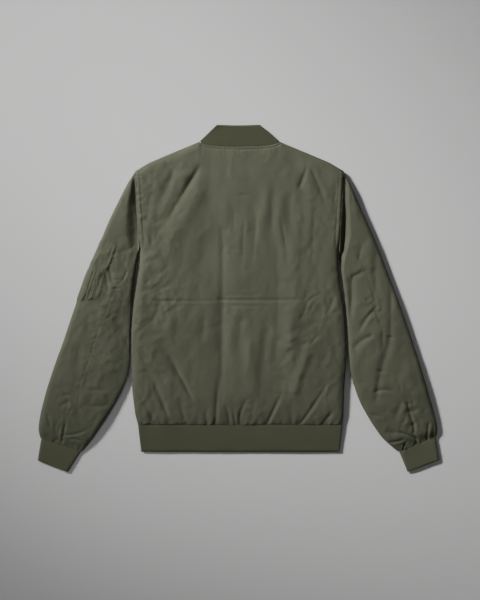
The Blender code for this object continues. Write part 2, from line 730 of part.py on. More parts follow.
# ---------------------------------------------------------------- assembly
def main():
    for obj in list(bpy.data.objects):
        bpy.data.objects.remove(obj)
    shell = cloth("olive_twill", (0.085, 0.088, 0.058), 0.55)
    rib = cloth("olive_rib", (0.072, 0.075, 0.05), 0.85)
    tape = cloth("olive_tape", (0.06, 0.062, 0.042), 0.8)
    metal = cloth("dark_nickel", (0.30, 0.29, 0.27), 0.35, 1.0)

    back_panel(shell)
    front_panel("left_front", -1, shell)
    front_panel("right_front", 1, shell)
    for side, word, table, folds in (
        (-1, "left", LEFT_SLEEVE, LEFT_SLEEVE_FOLDS),
        (1, "right", RIGHT_SLEEVE, RIGHT_SLEEVE_FOLDS),
    ):
        sleeve_panel(f"{word}_sleeve_outer", table, folds, True, side, shell)
        sleeve_panel(f"{word}_sleeve_under", table, folds, False, side, shell)
    cuff("left_cuff", LEFT_SLEEVE, LEFT_CUFF_END, rib)
    cuff("right_cuff", RIGHT_SLEEVE, RIGHT_CUFF_END, rib)
    hem_band(rib)
    collar(rib)
    over_pocket = POCKET_CLEARANCE + POCKET_PATCH + 0.5
    pocket_patch("sleeve_pocket", SLEEVE_POCKET, POCKET_PATCH, POCKET_CLEARANCE, shell)
    pocket_patch("pen_pocket", PEN_POCKET, PEN_PATCH, over_pocket, shell)
    front_zip(tape, metal)


main()
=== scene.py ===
# %% [markdown]
# # A bomber jacket laid flat, back upwards
# The jacket's solids are already packed as a fixed frame: their sizes, seams and the hinge
# of the zip's pull tab are settled. This notebook gives the jacket its looks. Each cloth
# panel becomes a thin shell with its own creases, gathers and puckered seams, the knitted
# edges get real ribs, and the zip gets teeth. Everything stays in metres, in the frame's
# own coordinates.

# %% Load the frame
import json
import math

import bmesh
import bpy
import numpy as np
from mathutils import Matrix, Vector
from mathutils.bvhtree import BVHTree


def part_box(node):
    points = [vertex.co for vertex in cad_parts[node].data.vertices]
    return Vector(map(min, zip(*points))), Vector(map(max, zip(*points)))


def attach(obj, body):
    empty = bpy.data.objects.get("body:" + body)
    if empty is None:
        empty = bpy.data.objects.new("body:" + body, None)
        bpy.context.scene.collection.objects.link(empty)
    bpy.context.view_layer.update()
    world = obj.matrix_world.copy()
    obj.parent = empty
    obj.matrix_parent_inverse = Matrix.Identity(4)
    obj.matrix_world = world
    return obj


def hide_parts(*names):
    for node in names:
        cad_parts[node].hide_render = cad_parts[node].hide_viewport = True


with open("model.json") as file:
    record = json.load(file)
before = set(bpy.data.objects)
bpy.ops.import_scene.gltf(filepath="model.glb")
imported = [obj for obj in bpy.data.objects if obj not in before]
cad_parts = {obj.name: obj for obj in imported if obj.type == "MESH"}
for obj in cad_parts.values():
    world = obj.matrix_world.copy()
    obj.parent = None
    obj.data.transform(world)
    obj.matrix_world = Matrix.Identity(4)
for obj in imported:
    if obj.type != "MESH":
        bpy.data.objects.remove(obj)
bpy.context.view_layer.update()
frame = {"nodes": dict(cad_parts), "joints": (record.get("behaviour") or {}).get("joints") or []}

# %% [markdown]
# ## The tailor's sizes
# A tailor measures up from the hem, in millimetres, so the tables here do the same. The
# frame's origin is under the middle of the jacket: HEM_TO_ORIGIN is read from the hem
# band's own box, so the two can't drift apart.

# %% Main sizes
MM = 0.001
HEM_TO_ORIGIN = -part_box("hem_band")[0][1] / MM
SEAM_GAP = 0.3
HEM_BAND = 57.0
NECK_HALF_WIDTH = 86.0
NECK_POINT = 667.0
BACK_NECK = 655.5
FRONT_NECK = 578.0
SHOULDER_HALF_WIDTH = 224.0
SHOULDER_POINT = 603.0
UNDERARM_HALF_WIDTH = 214.0
UNDERARM = 436.0
ZIP_CHANNEL = 7.0
SEAM_CLOSED = 0.03  # sewn edges of the sleeve meet as closely as this
SHELL = 1.1  # the cloth's own thickness
BACK_WALL = 8.0
SLEEVE_WALL = 9.0

SIDES = (
    ("height", "left", "right"),
    (57, -219, 222), (80, -225, 224), (131, -231, 225), (209, -233, 231), (260, -233, 229),
    (312, -229, 225), (350, -223, 218), (395, -216, 213), (436, -214, 214),
)
MIDDLE = (
    ("height", "level"),
    (0, 4.5), (57, 5.1), (85, 7.4), (115, 8.5), (592, 8.5), (630, 6.4), (667, 5.2), (703, 4.9),
)
LEFT_SLEEVE = (
    ("outer x", "outer height", "inner x", "inner height", "level"),
    (-224, 603, -214, 436, 8.2), (-243, 573, -217, 424, 8.0), (-263, 533, -221, 406, 8.0),
    (-283, 492, -224, 384, 8.0), (-304, 441, -227, 358, 8.0), (-327, 389, -230, 333, 8.0),
    (-345, 338, -233, 306, 8.0), (-363, 286, -236, 262, 8.0), (-380, 234, -236, 214, 8.0),
    (-399, 183, -239, 162, 8.0), (-416, 131, -262, 112, 8.0), (-429, 80, -290, 66, 7.4),
    (-434, 46, -318, 24, 5.6), (-429, 28, -339, -1, 3.9),
)
RIGHT_SLEEVE = (
    ("outer x", "outer height", "inner x", "inner height", "level"),
    (224, 603, 214, 436, 8.2), (240, 573, 216, 424, 8.0), (257, 533, 218, 404, 8.0),
    (275, 492, 220, 380, 8.0), (298, 441, 223, 354, 8.0), (317, 389, 227, 328, 8.0),
    (337, 338, 230, 300, 8.0), (356, 286, 233, 262, 8.0), (373, 234, 235, 214, 8.0),
    (390, 183, 240, 160, 8.0), (405, 131, 257, 108, 8.0), (420, 80, 283, 62, 7.4),
    (427, 48, 310, 24, 5.6), (424, 32, 341, -1, 3.9),
)
print("hem to origin, mm:", round(HEM_TO_ORIGIN, 2))

# %% [markdown]
# ## Camera, floor and light
# The jacket lies flat, so the camera looks straight down from far enough to keep its
# outline true. A big soft key light stands up and to the left: it grazes the cloth, so
# each crease gets a light flank and a dark one. A weak fill keeps the dark flanks open.

# %% Camera, floor and lights
VIEW_HEIGHT = 1.29  # metres that the picture's long side spans
CAMERA_AT = (0.001, -0.0035, 4.0)
CLOTH_LEVEL = 0.012  # metres: the height of the cloth that VIEW_HEIGHT holds for
SENSOR = 36.0
FLOOR_COLOUR = (0.62, 0.62, 0.61, 1)
FLOOR_GLOW = {"From Min": 0.75, "From Max": 3.2, "To Min": 0.0, "To Max": 0.3}  # metres, then strength


def linked(name, data):
    """A new object for a mesh, a light or a camera, put in the scene."""
    made = bpy.data.objects.new(name, data)
    bpy.context.scene.collection.objects.link(made)
    return made


def finish_of(name):
    """A new material, with its node tree and its Principled shader."""
    material = bpy.data.materials.new(name)
    material.use_nodes = True
    return material, material.node_tree, material.node_tree.nodes["Principled BSDF"]


def set_inputs(node, values):
    for label, value in values.items():
        node.inputs[label].default_value = value


def soft_light(name, place, size, power, target=(0, 0, 0)):
    data = bpy.data.lights.new(name, "AREA")
    data.shape = "RECTANGLE"
    data.size, data.size_y = size
    data.energy = power
    light = linked(name, data)
    light.location = place
    way = Vector(target) - light.location
    light.rotation_euler = way.to_track_quat("-Z", "Y").to_euler()
    return light


camera = linked("camera", bpy.data.cameras.new("camera"))
camera.location = CAMERA_AT
camera.data.sensor_width = SENSOR
camera.data.lens = SENSOR * (CAMERA_AT[2] - CLOTH_LEVEL) / VIEW_HEIGHT
bpy.context.scene.camera = camera

key = soft_light("key", (-3.7, 2.7, 2.6), (1.2, 1.0), 10.2, target=(-0.08, 0.28, 0))
key.data.spread = math.radians(18)  # a grid on the softbox: the light fades from the shoulders out
soft_light("fill", (1.8, -0.6, 2.2), (2.0, 2.0), 4)
lift = soft_light("lift", (-1.3, -0.3, 3.0), (0.6, 0.6), 0.2, target=(-0.44, -0.36, 0))
lift.data.spread = math.radians(20)  # lifts the cuff that lies farthest from the key
world = bpy.data.worlds.new("studio")
world.use_nodes = True
set_inputs(world.node_tree.nodes["Background"], {"Color": (0.9, 0.92, 0.95, 1), "Strength": 0.11})
bpy.context.scene.world = world

bpy.ops.object.select_all(action="DESELECT")
bpy.ops.mesh.primitive_plane_add(size=8, location=(0, 0, -0.0006))
floor = bpy.context.object
floor.name = "floor"
paper, paper_tree, paper_surface = finish_of("pale_floor")
set_inputs(paper_surface, {
    "Base Color": FLOOR_COLOUR, "Roughness": 0.9, "Specular IOR Level": 0.1,
    "Emission Color": (1.0, 1.0, 1.0, 1),
})
place = paper_tree.nodes.new("ShaderNodeTexCoord")
away = paper_tree.nodes.new("ShaderNodeVectorMath")
away.operation = "LENGTH"
glow = paper_tree.nodes.new("ShaderNodeMapRange")
set_inputs(glow, FLOOR_GLOW)
paper_tree.links.new(place.outputs["Object"], away.inputs[0])
paper_tree.links.new(away.outputs["Value"], glow.inputs["Value"])
paper_tree.links.new(glow.outputs["Result"], paper_surface.inputs["Emission Strength"])
floor.data.materials.append(paper)
print("lens, mm:", round(camera.data.lens, 1))

# %% [markdown]
# ## Weaves and knits as node groups
# Several cloths share the same small effects, so each effect is a node group with named
# inputs: a twill's fine diagonal rib, the faint mottling of dyed nylon, and a knit's
# loops. A group puts out only heights and masks. Each material feeds them to its own
# Principled shader, where gloss and sheen are set. The patterns of cloth and knit read the
# piece's own UV map, laid out in metres, so they follow the cloth round a sleeve. The tapes,
# the thread and the metal have no map, so theirs read object coordinates.


# %% Node helpers
def new_group(name, inputs, outputs):
    group = bpy.data.node_groups.new(name, "ShaderNodeTree")
    for label, value in inputs:
        kind = "NodeSocketVector" if value is None else "NodeSocketFloat"
        socket = group.interface.new_socket(label, in_out="INPUT", socket_type=kind)
        if value is not None:
            socket.default_value = value
    for label in outputs:
        group.interface.new_socket(label, in_out="OUTPUT", socket_type="NodeSocketFloat")
    return group, group.nodes.new("NodeGroupInput"), group.nodes.new("NodeGroupOutput")


def math_node(tree, operation, first, second=None, third=None):
    node = tree.nodes.new("ShaderNodeMath")
    node.operation = operation
    for place, value in enumerate((first, second, third)):
        if value is None:
            continue
        if isinstance(value, (int, float)):
            node.inputs[place].default_value = value
        else:
            tree.links.new(value, node.inputs[place])
    return node.outputs[0]


def noise_node(tree, vector, scale, detail=2.0, roughness=0.5, distortion=0.0):
    node = tree.nodes.new("ShaderNodeTexNoise")
    tree.links.new(vector, node.inputs["Vector"])
    set_inputs(
        node, {"Scale": scale, "Detail": detail, "Roughness": roughness, "Distortion": distortion}
    )
    return node.outputs["Fac"]


# %% Twill, crumple and knit groups
TWILL_PITCH = 0.0009
KNIT_PITCH = 0.0022
KNIT_LOOP = 0.0011  # the height of one loop
TAPE_PITCH = 0.0012
THREAD_PITCH = 0.0007

twill_group, twill_in, twill_out = new_group(
    "twill_weave", [("Place", None), ("Pitch", TWILL_PITCH)], ["Height"]
)
split = twill_group.nodes.new("ShaderNodeSeparateXYZ")
twill_group.links.new(twill_in.outputs["Place"], split.inputs[0])
diagonal = math_node(
    twill_group, "ADD", split.outputs["X"], math_node(twill_group, "MULTIPLY", split.outputs["Y"], 0.6)
)
turns = math_node(twill_group, "DIVIDE", diagonal, twill_in.outputs["Pitch"])
wave = math_node(twill_group, "SINE", math_node(twill_group, "MULTIPLY", turns, 2 * math.pi))
twill_group.links.new(math_node(twill_group, "MULTIPLY_ADD", wave, 0.5, 0.5), twill_out.inputs["Height"])

crumple_group, crumple_in, crumple_out = new_group(
    "nylon_crumple", [("Place", None), ("Size", 0.03)], ["Height", "Mottle"]
)
scaled = crumple_group.nodes.new("ShaderNodeVectorMath")
scaled.operation = "DIVIDE"
crumple_group.links.new(crumple_in.outputs["Place"], scaled.inputs[0])
spread_size = crumple_group.nodes.new("ShaderNodeCombineXYZ")
for axis in ("X", "Y", "Z"):
    crumple_group.links.new(crumple_in.outputs["Size"], spread_size.inputs[axis])
crumple_group.links.new(spread_size.outputs[0], scaled.inputs[1])
lumps = noise_node(crumple_group, scaled.outputs[0], 1.0, 3.0, 0.55, 0.6)
folded = math_node(crumple_group, "ABSOLUTE", math_node(crumple_group, "SUBTRACT", lumps, 0.5))
crumple_group.links.new(math_node(crumple_group, "MULTIPLY", folded, -2.0), crumple_out.inputs["Height"])
crumple_group.links.new(
    noise_node(crumple_group, scaled.outputs[0], 0.35, 4.0, 0.6, 0.2), crumple_out.inputs["Mottle"]
)

knit_group, knit_in, knit_out = new_group(
    "rib_knit", [("Place", None), ("Pitch", KNIT_PITCH)], ["Height", "Valley Shade"]
)
across = knit_group.nodes.new("ShaderNodeSeparateXYZ")
knit_group.links.new(knit_in.outputs["Place"], across.inputs[0])
column_turn = math_node(knit_group, "DIVIDE", across.outputs["X"], knit_in.outputs["Pitch"])
column_wave = math_node(
    knit_group, "COSINE", math_node(knit_group, "MULTIPLY", column_turn, 2 * math.pi)
)
loop_lean = math_node(knit_group, "ABSOLUTE", column_wave)
loop_turn = math_node(
    knit_group, "ADD",
    math_node(knit_group, "DIVIDE", across.outputs["Y"], KNIT_LOOP),
    math_node(knit_group, "MULTIPLY", loop_lean, 0.35),
)
loop_wave = math_node(knit_group, "SINE", math_node(knit_group, "MULTIPLY", loop_turn, 2 * math.pi))
knit_group.links.new(
    math_node(knit_group, "MULTIPLY_ADD", loop_wave, 0.25, 0.5), knit_out.inputs["Height"]
)
# The groove mask is 1 between the rib's columns. The knit materials darken their colour there: painted shade
# in the grooves.
knit_group.links.new(
    math_node(knit_group, "MULTIPLY_ADD", column_wave, -0.5, 0.5), knit_out.inputs["Valley Shade"]
)
print("groups:", [g.name for g in bpy.data.node_groups])

# %% [markdown]
# ## The finishes
# The shell is a fine nylon twill: mid roughness with a broad soft shine, a weave too fine
# to see from afar, and small crumples left by packing. The ribs are a matt wool-like knit,
# a shade darker. The hem band and the cuffs get lighter copies of the collar's knit colour:
# painted light that makes up for the key light fading towards the hem and the cuffs.
# The thread matches the cloth, and the zip is dull dark nickel.


# %% Materials
def mixed_colour(tree, factor, low, high):
    node = tree.nodes.new("ShaderNodeMix")
    node.data_type = "RGBA"
    factor_in, low_in, high_in = node.inputs[0], node.inputs[6], node.inputs[7]
    tree.links.new(factor, factor_in)
    low_in.default_value = (*low, 1)
    high_in.default_value = (*high, 1)
    return node.outputs[2]


def place_of(tree, has_map=True):
    """The cloth's own map, or object coordinates on a mesh that has no map."""
    if not has_map:
        return tree.nodes.new("ShaderNodeTexCoord").outputs["Object"]
    node = tree.nodes.new("ShaderNodeUVMap")
    node.uv_map = "cloth"
    return node.outputs["UV"]


def group_node(tree, group, place, **values):
    node = tree.nodes.new("ShaderNodeGroup")
    node.node_tree = group
    tree.links.new(place, node.inputs["Place"])
    set_inputs(node, values)
    return node


def bump(tree, height, distance, strength=1.0, before=None):
    node = tree.nodes.new("ShaderNodeBump")
    set_inputs(node, {"Distance": distance, "Strength": strength})
    tree.links.new(height, node.inputs["Height"])
    if before is not None:
        tree.links.new(before, node.inputs["Normal"])
    return node.outputs["Normal"]


SHELL_DARK, SHELL_LIGHT = (0.066, 0.070, 0.0465), (0.088, 0.092, 0.0635)
SHELL_ROUGHNESS = 0.72


def shell_material(name, crumple):
    material, tree, surface = finish_of(name)
    place = place_of(tree)
    small = group_node(tree, crumple_group, place, Size=0.016)
    large = group_node(tree, crumple_group, place, Size=0.055)
    weave = group_node(tree, twill_group, place, Pitch=TWILL_PITCH)
    # The colour mixes the nylon's random mottle with painted shade from the weave: a touch lighter on the
    # twill's crests and darker in its grooves.
    mottle_and_weave_shade = math_node(
        tree, "MULTIPLY_ADD", weave.outputs["Height"], 0.12,
        math_node(tree, "MULTIPLY_ADD", large.outputs["Mottle"], 1.4, -0.25),
    )
    tree.links.new(mixed_colour(tree, mottle_and_weave_shade, SHELL_DARK, SHELL_LIGHT), surface.inputs["Base Color"])
    shine = math_node(tree, "MULTIPLY_ADD", small.outputs["Mottle"], 0.16, SHELL_ROUGHNESS - 0.08)
    tree.links.new(shine, surface.inputs["Roughness"])
    normal = bump(tree, large.outputs["Height"], 0.0007 * crumple, 0.8)
    normal = bump(tree, small.outputs["Height"], 0.00022 * crumple, 0.8, normal)
    normal = bump(tree, weave.outputs["Height"], 0.00005, 0.6, normal)
    tree.links.new(normal, surface.inputs["Normal"])
    set_inputs(surface, {"Sheen Weight": 0.02, "Sheen Roughness": 0.45, "Specular IOR Level": 0.12})
    return material


def rib_material(name, dark, light, pitch=KNIT_PITCH, has_map=True):
    material, tree, surface = finish_of(name)
    place = place_of(tree, has_map)
    knit = group_node(tree, knit_group, place, Pitch=pitch)
    fuzz = noise_node(tree, place, 900.0, 2.0)
    # The colour mixes a random fuzz tone with painted shade that darkens the grooves between the knit's
    # columns.
    shade = math_node(
        tree, "MULTIPLY_ADD", fuzz, 0.5, math_node(tree, "MULTIPLY", knit.outputs["Valley Shade"], -0.5)
    )
    shade = math_node(tree, "ADD", shade, 0.45)
    tree.links.new(mixed_colour(tree, shade, dark, light), surface.inputs["Base Color"])
    tree.links.new(
        math_node(tree, "MULTIPLY_ADD", fuzz, 0.15, 0.78), surface.inputs["Roughness"]
    )
    normal = bump(tree, knit.outputs["Height"], 0.0004, 0.8)
    tree.links.new(bump(tree, fuzz, 0.0002, 0.5, normal), surface.inputs["Normal"])
    set_inputs(surface, {"Sheen Weight": 0.05, "Sheen Roughness": 0.6, "Specular IOR Level": 0.1})
    return material


def metal_material(name, colour, roughness):
    material, tree, surface = finish_of(name)
    wear = noise_node(tree, place_of(tree, has_map=False), 700.0, 3.0)
    tree.links.new(
        mixed_colour(tree, wear, [c * 0.75 for c in colour], [c * 1.2 for c in colour]),
        surface.inputs["Base Color"],
    )
    tree.links.new(
        math_node(tree, "MULTIPLY_ADD", wear, 0.25, roughness - 0.12), surface.inputs["Roughness"]
    )
    surface.inputs["Metallic"].default_value = 1.0
    return material


twill = shell_material("olive_twill_cloth", crumple=1.0)
pocket_twill = shell_material("pocket_twill_cloth", crumple=1.8)
rib = rib_material("olive_rib_knit", (0.045, 0.047, 0.029), (0.079, 0.083, 0.050))
# The hem band's and the cuffs' knits are the collar's knit painted lighter: painted light that makes up for
# the key light fading towards them.
hem_rib_painted_light = rib_material("olive_hem_knit_painted_light", (0.053, 0.055, 0.034), (0.091, 0.095, 0.058))
cuff_rib_painted_light = rib_material("olive_cuff_knit_painted_light", (0.066, 0.069, 0.043), (0.108, 0.112, 0.070))
tape_cloth = rib_material("zip_tape_weave", (0.03, 0.032, 0.02), (0.05, 0.052, 0.032), TAPE_PITCH, False)
thread = rib_material("olive_thread", (0.064, 0.067, 0.04), (0.092, 0.096, 0.06), THREAD_PITCH, False)
nickel = metal_material("dark_nickel_metal", (0.30, 0.29, 0.27), 0.38)
print("materials:", len(bpy.data.materials))

# %% [markdown]
# ## Tools for laying cloth
# Each panel is a grid of points worked out from the sizes above. Creases are strokes: a
# row of a table gives where a crease starts, a point it passes, and where it ends, with
# its half width and depth. Its trough can have a raised lip on the side away from the
# light. A negative depth makes a ridge. The heights of all strokes are added up before
# the mesh is made, so crossing creases blend as they do in cloth.


# %% Table and shape helpers
def column(table, name):
    return np.array([row[table[0].index(name)] for row in table[1:]], float)


def along(table, key, name, at):
    return np.interp(at, column(table, key), column(table, name))


def rounded(distance, radius):
    """0 at an edge and 1 a radius away from it, as a quarter circle."""
    share = np.clip(np.asarray(distance, float) / radius, 0, 1)
    return np.sqrt(np.clip(1 - (1 - share) ** 2, 0, 1))


def eased(value, low, high):
    share = np.clip((np.asarray(value, float) - low) / (high - low), 0, 1)
    return share * share * (3 - 2 * share)


def side_word(side_sign):
    return "left" if side_sign < 0 else "right"


def level_of(height):
    return along(MIDDLE, "height", "level", height)


def graded(length, fine, coarse, edge):
    """Places from 0 to length, fine steps apart near both ends and coarse in between."""
    places, at = [0.0], 0.0
    while at < length:
        near = min(at, length - at)
        at += fine + (coarse - fine) * float(eased(near, edge * 0.3, edge))
        places.append(at)
    return np.array(places) / places[-1]


def lattice(i, j, seed):
    value = np.sin(i * 127.1 + j * 311.7 + seed * 74.7) * 43758.5453
    return value - np.floor(value)


def lumps_at(x, y, size, seed):
    """Smooth noise between -1 and 1, with lumps about one size across."""
    u, v = np.asarray(x) / size, np.asarray(y) / size
    i, j = np.floor(u), np.floor(v)
    fu, fv = eased(u - i, 0, 1), eased(v - j, 0, 1)
    low = lattice(i, j, seed) * (1 - fu) + lattice(i + 1, j, seed) * fu
    high = lattice(i, j + 1, seed) * (1 - fu) + lattice(i + 1, j + 1, seed) * fu
    return 2 * (low * (1 - fv) + high * fv) - 1


def wrinkles_at(x, y, size, seed, lean=0.0, stretch=1.0):
    """Sharp-crested noise: where two lumps meet, the cloth folds along a line."""
    c, s = math.cos(lean), math.sin(lean)
    u, v = (x * c + y * s) / stretch, y * c - x * s
    u = u + size * 0.8 * lumps_at(x, y, size * 1.7, seed + 5)
    v = v + size * 0.8 * lumps_at(x, y, size * 1.7, seed + 9)
    return 1 - 2 * np.abs(lumps_at(u, v, size, seed)) ** 0.8


def crumples_at(x, y, size, seed, lean=0.0, stretch=1.0):
    """Crests and troughs that meet at soft facets, as in light cloth that has been packed."""
    crests = wrinkles_at(x, y, size, seed, lean, stretch)
    troughs = wrinkles_at(x, y, size * 0.9, seed + 2, lean + 0.9, stretch)
    return 0.5 * (crests - troughs)


# %% Crease strokes
CREASE_COLUMNS = (
    "from x", "from height", "by x", "by height", "to x", "to height",
    "half width", "depth", "lip", "spread", "start", "end",
)
STROKE_REACH = 3.6  # half widths from a crease's middle to where it has faded out
LIP_PLACE = 1.75  # half widths from a crease's middle to its lip
AWAY_FROM_LIGHT = (1.0, -0.7)  # a lip stands on the side that this points to


def crease_heights(x, y, rows):
    """The height that all the crease strokes together add at points x, y."""
    height = np.zeros(np.shape(x))
    for row in rows:
        c = dict(zip(CREASE_COLUMNS, row))
        begin = np.array([c["from x"], c["from height"]], float)
        middle = np.array([c["by x"], c["by height"]], float)
        finish = np.array([c["to x"], c["to height"]], float)
        pull = 2 * middle - (begin + finish) / 2
        t = np.linspace(0, 1, 15)[:, None]
        path = (1 - t) ** 2 * begin + 2 * t * (1 - t) * pull + t**2 * finish
        reach = STROKE_REACH * c["half width"] * max(1, c["spread"])
        low, high = path.min(axis=0) - reach, path.max(axis=0) + reach
        near = (x > low[0]) & (x < high[0]) & (y > low[1]) & (y < high[1])
        if not near.any():
            continue
        px, py = x[near], y[near]
        best = np.full(px.shape, 1e9)
        side, share = np.zeros(px.shape), np.zeros(px.shape)
        for k in range(len(path) - 1):
            step = path[k + 1] - path[k]
            length = float(np.hypot(*step))
            dx, dy = px - path[k][0], py - path[k][1]
            on = np.clip((dx * step[0] + dy * step[1]) / length**2, 0, 1)
            away = np.hypot(dx - on * step[0], dy - on * step[1])
            across_x, across_y = step[1] / length, -step[0] / length
            if across_x * AWAY_FROM_LIGHT[0] + across_y * AWAY_FROM_LIGHT[1] < 0:
                across_x, across_y = -across_x, -across_y
            signed = np.where(dx * across_x + dy * across_y < 0, -away, away)
            closer = away < best
            best = np.where(closer, away, best)
            side = np.where(closer, signed, side)
            share = np.where(closer, (k + on) / (len(path) - 1), share)
        width = c["half width"] * (1 + (c["spread"] - 1) * share)
        fade = np.ones(px.shape)
        if c["start"] > 0:
            fade *= eased(share, 0, c["start"])
        if c["end"] > 0:
            fade *= 1 - eased(share, 1 - c["end"], 1)
        lip_side = math.copysign(LIP_PLACE, c["lip"])
        soft = np.exp(-((side / width) ** 2))
        sharp = 0.5 * (1 - eased(c["half width"], 5, 9)) if c["depth"] > 0 else 0.0
        trough = -(1 - sharp) * soft - sharp * np.exp(-1.5 * np.abs(side / width))
        lip = abs(c["lip"]) * np.exp(-((side / width - lip_side) ** 2) / 1.2)
        height[near] += c["depth"] * fade * (trough + lip)
    return height


def gather_heights(place, reach, pitch, depth, length, seed, low, high):
    """Irregular pleats that stand on a seam: place runs along it and reach away from it."""
    height = np.zeros(np.shape(place))
    at = low
    number = 0
    while at < high:
        number += 1
        r = [float(lattice(number, k, seed)) for k in range(5)]
        at += pitch * (0.55 + 0.9 * r[0])
        lean = (r[1] - 0.5) * 0.9
        width = pitch * (0.16 + 0.12 * r[2]) * (1 + reach / length * 0.9)
        long = length * (0.35 + 1.1 * r[3] ** 1.6)
        fade = np.exp(-((reach / long) ** 2))
        off = (place - at - lean * reach) / width
        pleat = np.exp(-(off**2)) - 0.35 * np.exp(-((off - 1.7) ** 2))
        height -= depth * (0.35 + 0.65 * r[4]) * fade * pleat
    return height


def rumple_heights(x, y, patches, seed):
    """Tight crumples inside soft-edged patches: each has a middle, a reach and a height."""
    crumple = 1.6 * crumples_at(x, y, 17, seed + 21, 0.8, 1.4) + 0.7 * lumps_at(x, y, 11, seed + 23)
    strength = 0
    for patch_x, patch_y, reach, amount in patches:
        strength = strength + amount * np.exp(-((x - patch_x) ** 2 + (y - patch_y) ** 2) / reach**2)
    return crumple * strength


def pucker_heights(place, reach, pitch, depth, length, seed):
    """Small waves across a line of stitches, strongest close to it."""
    phase = place / pitch + 0.9 * lumps_at(place, reach * 0.6, pitch * 2.3, seed)
    strength = 0.55 + 0.45 * lumps_at(place, reach * 0.3, pitch * 5, seed + 3)
    return depth * strength * np.sin(2 * math.pi * phase) * np.exp(-(np.abs(reach) / length) ** 1.3)


# %% Meshes from grids
def points(x, y, z):
    return np.stack(np.broadcast_arrays(x, y, z), axis=-1).astype(float)


def cloth_from(name, grid, uv, material, facing="up", closed=False, thickness=SHELL):
    """A thin shell through a grid of points in tailor's millimetres. It faces up, down,
    or out, where its top side faces up and its underside down. A closed one is a ring."""
    rows, columns = grid.shape[:2]
    place = ((grid - [0, HEM_TO_ORIGIN, 0]) * MM).reshape(-1, 3)
    i, j = np.meshgrid(np.arange(rows if closed else rows - 1), np.arange(columns - 1), indexing="ij")
    after = (i + 1) % rows
    faces = np.stack(
        [i * columns + j, after * columns + j, after * columns + j + 1, i * columns + j + 1], axis=-1
    ).reshape(-1, 4)
    a, b, c = (place[faces[:, k]] for k in (0, 1, 3))
    rise = np.cross(b - a, c - a)[:, 2]
    outward = {"up": 1.0, "down": -1.0, "out": a[:, 2] - a[:, 2].mean()}[facing]
    if (rise * outward).sum() < 0:
        faces = faces[:, ::-1]
    mesh = bpy.data.meshes.new(name)
    mesh.from_pydata(place.tolist(), [], faces.tolist())
    layer = mesh.uv_layers.new(name="cloth")
    flat_uv = (uv.reshape(-1, 2) * MM)[faces.reshape(-1)]
    if closed:
        last = (i.reshape(-1) == rows - 1)[:, None] & (faces < columns)
        flat_uv[last.reshape(-1), 0] += (uv[-1, :, 0].mean() + uv[1, :, 0].mean()) * MM
    layer.data.foreach_set("uv", flat_uv.reshape(-1))
    mesh.materials.append(material)
    mesh.shade_smooth()
    piece = linked(name, mesh)
    if thickness:
        solidify = piece.modifiers.new("thickness", "SOLIDIFY")
        solidify.thickness = thickness * MM
        solidify.offset = -1
        applied(piece)
        for vertex in piece.data.vertices:
            vertex.co.z = max(vertex.co.z, 0.0)
        piece.data.set_sharp_from_angle(angle=math.radians(62))  # the cut edges stay crisp
    ring = np.concatenate([grid, grid[:1]]) if closed else grid
    print(name, len(faces), "faces in the cloth,", round(cloth_area(ring), 4), "m2")
    return piece


def applied(piece):
    """Applies every modifier of a piece."""
    bpy.ops.object.select_all(action="DESELECT")
    piece.select_set(True)
    bpy.context.view_layer.objects.active = piece
    for modifier in list(piece.modifiers):
        bpy.ops.object.modifier_apply(modifier=modifier.name)
    return piece


def cloth_area(grid):
    """The area of a grid in square metres."""
    a, b, c, d = grid[:-1, :-1], grid[1:, :-1], grid[1:, 1:], grid[:-1, 1:]
    halves = np.linalg.norm(np.cross(b - a, c - a), axis=-1) + np.linalg.norm(np.cross(c - a, d - a), axis=-1)
    return float(halves.sum() / 2) * 1e-6


def arc_uv(grid):
    """Cloth coordinates in millimetres: the way along each grid line from its start."""
    down = np.linalg.norm(np.diff(grid, axis=0), axis=-1).mean(axis=1)
    over = np.linalg.norm(np.diff(grid, axis=1), axis=-1)
    u = np.concatenate([[0], np.cumsum(down)])[:, None]
    v = np.concatenate([np.zeros((len(grid), 1)), np.cumsum(over, axis=1)], axis=1)
    return np.stack([u + 0 * v, v], axis=-1)


print("tools ready")

# %% [markdown]
# ## The back panel
# The back is one piece of shell cloth from shoulder to shoulder. It lay folded in a
# drawer, so it carries sharp press lines as well as soft drapes that fall from the
# shoulders. At the hem the cloth is wider than the rib that gathers it, so pleats stand
# on the seam and fade upwards. Long creases are placed one by one; the small pleats
# between them follow a seeded pattern.

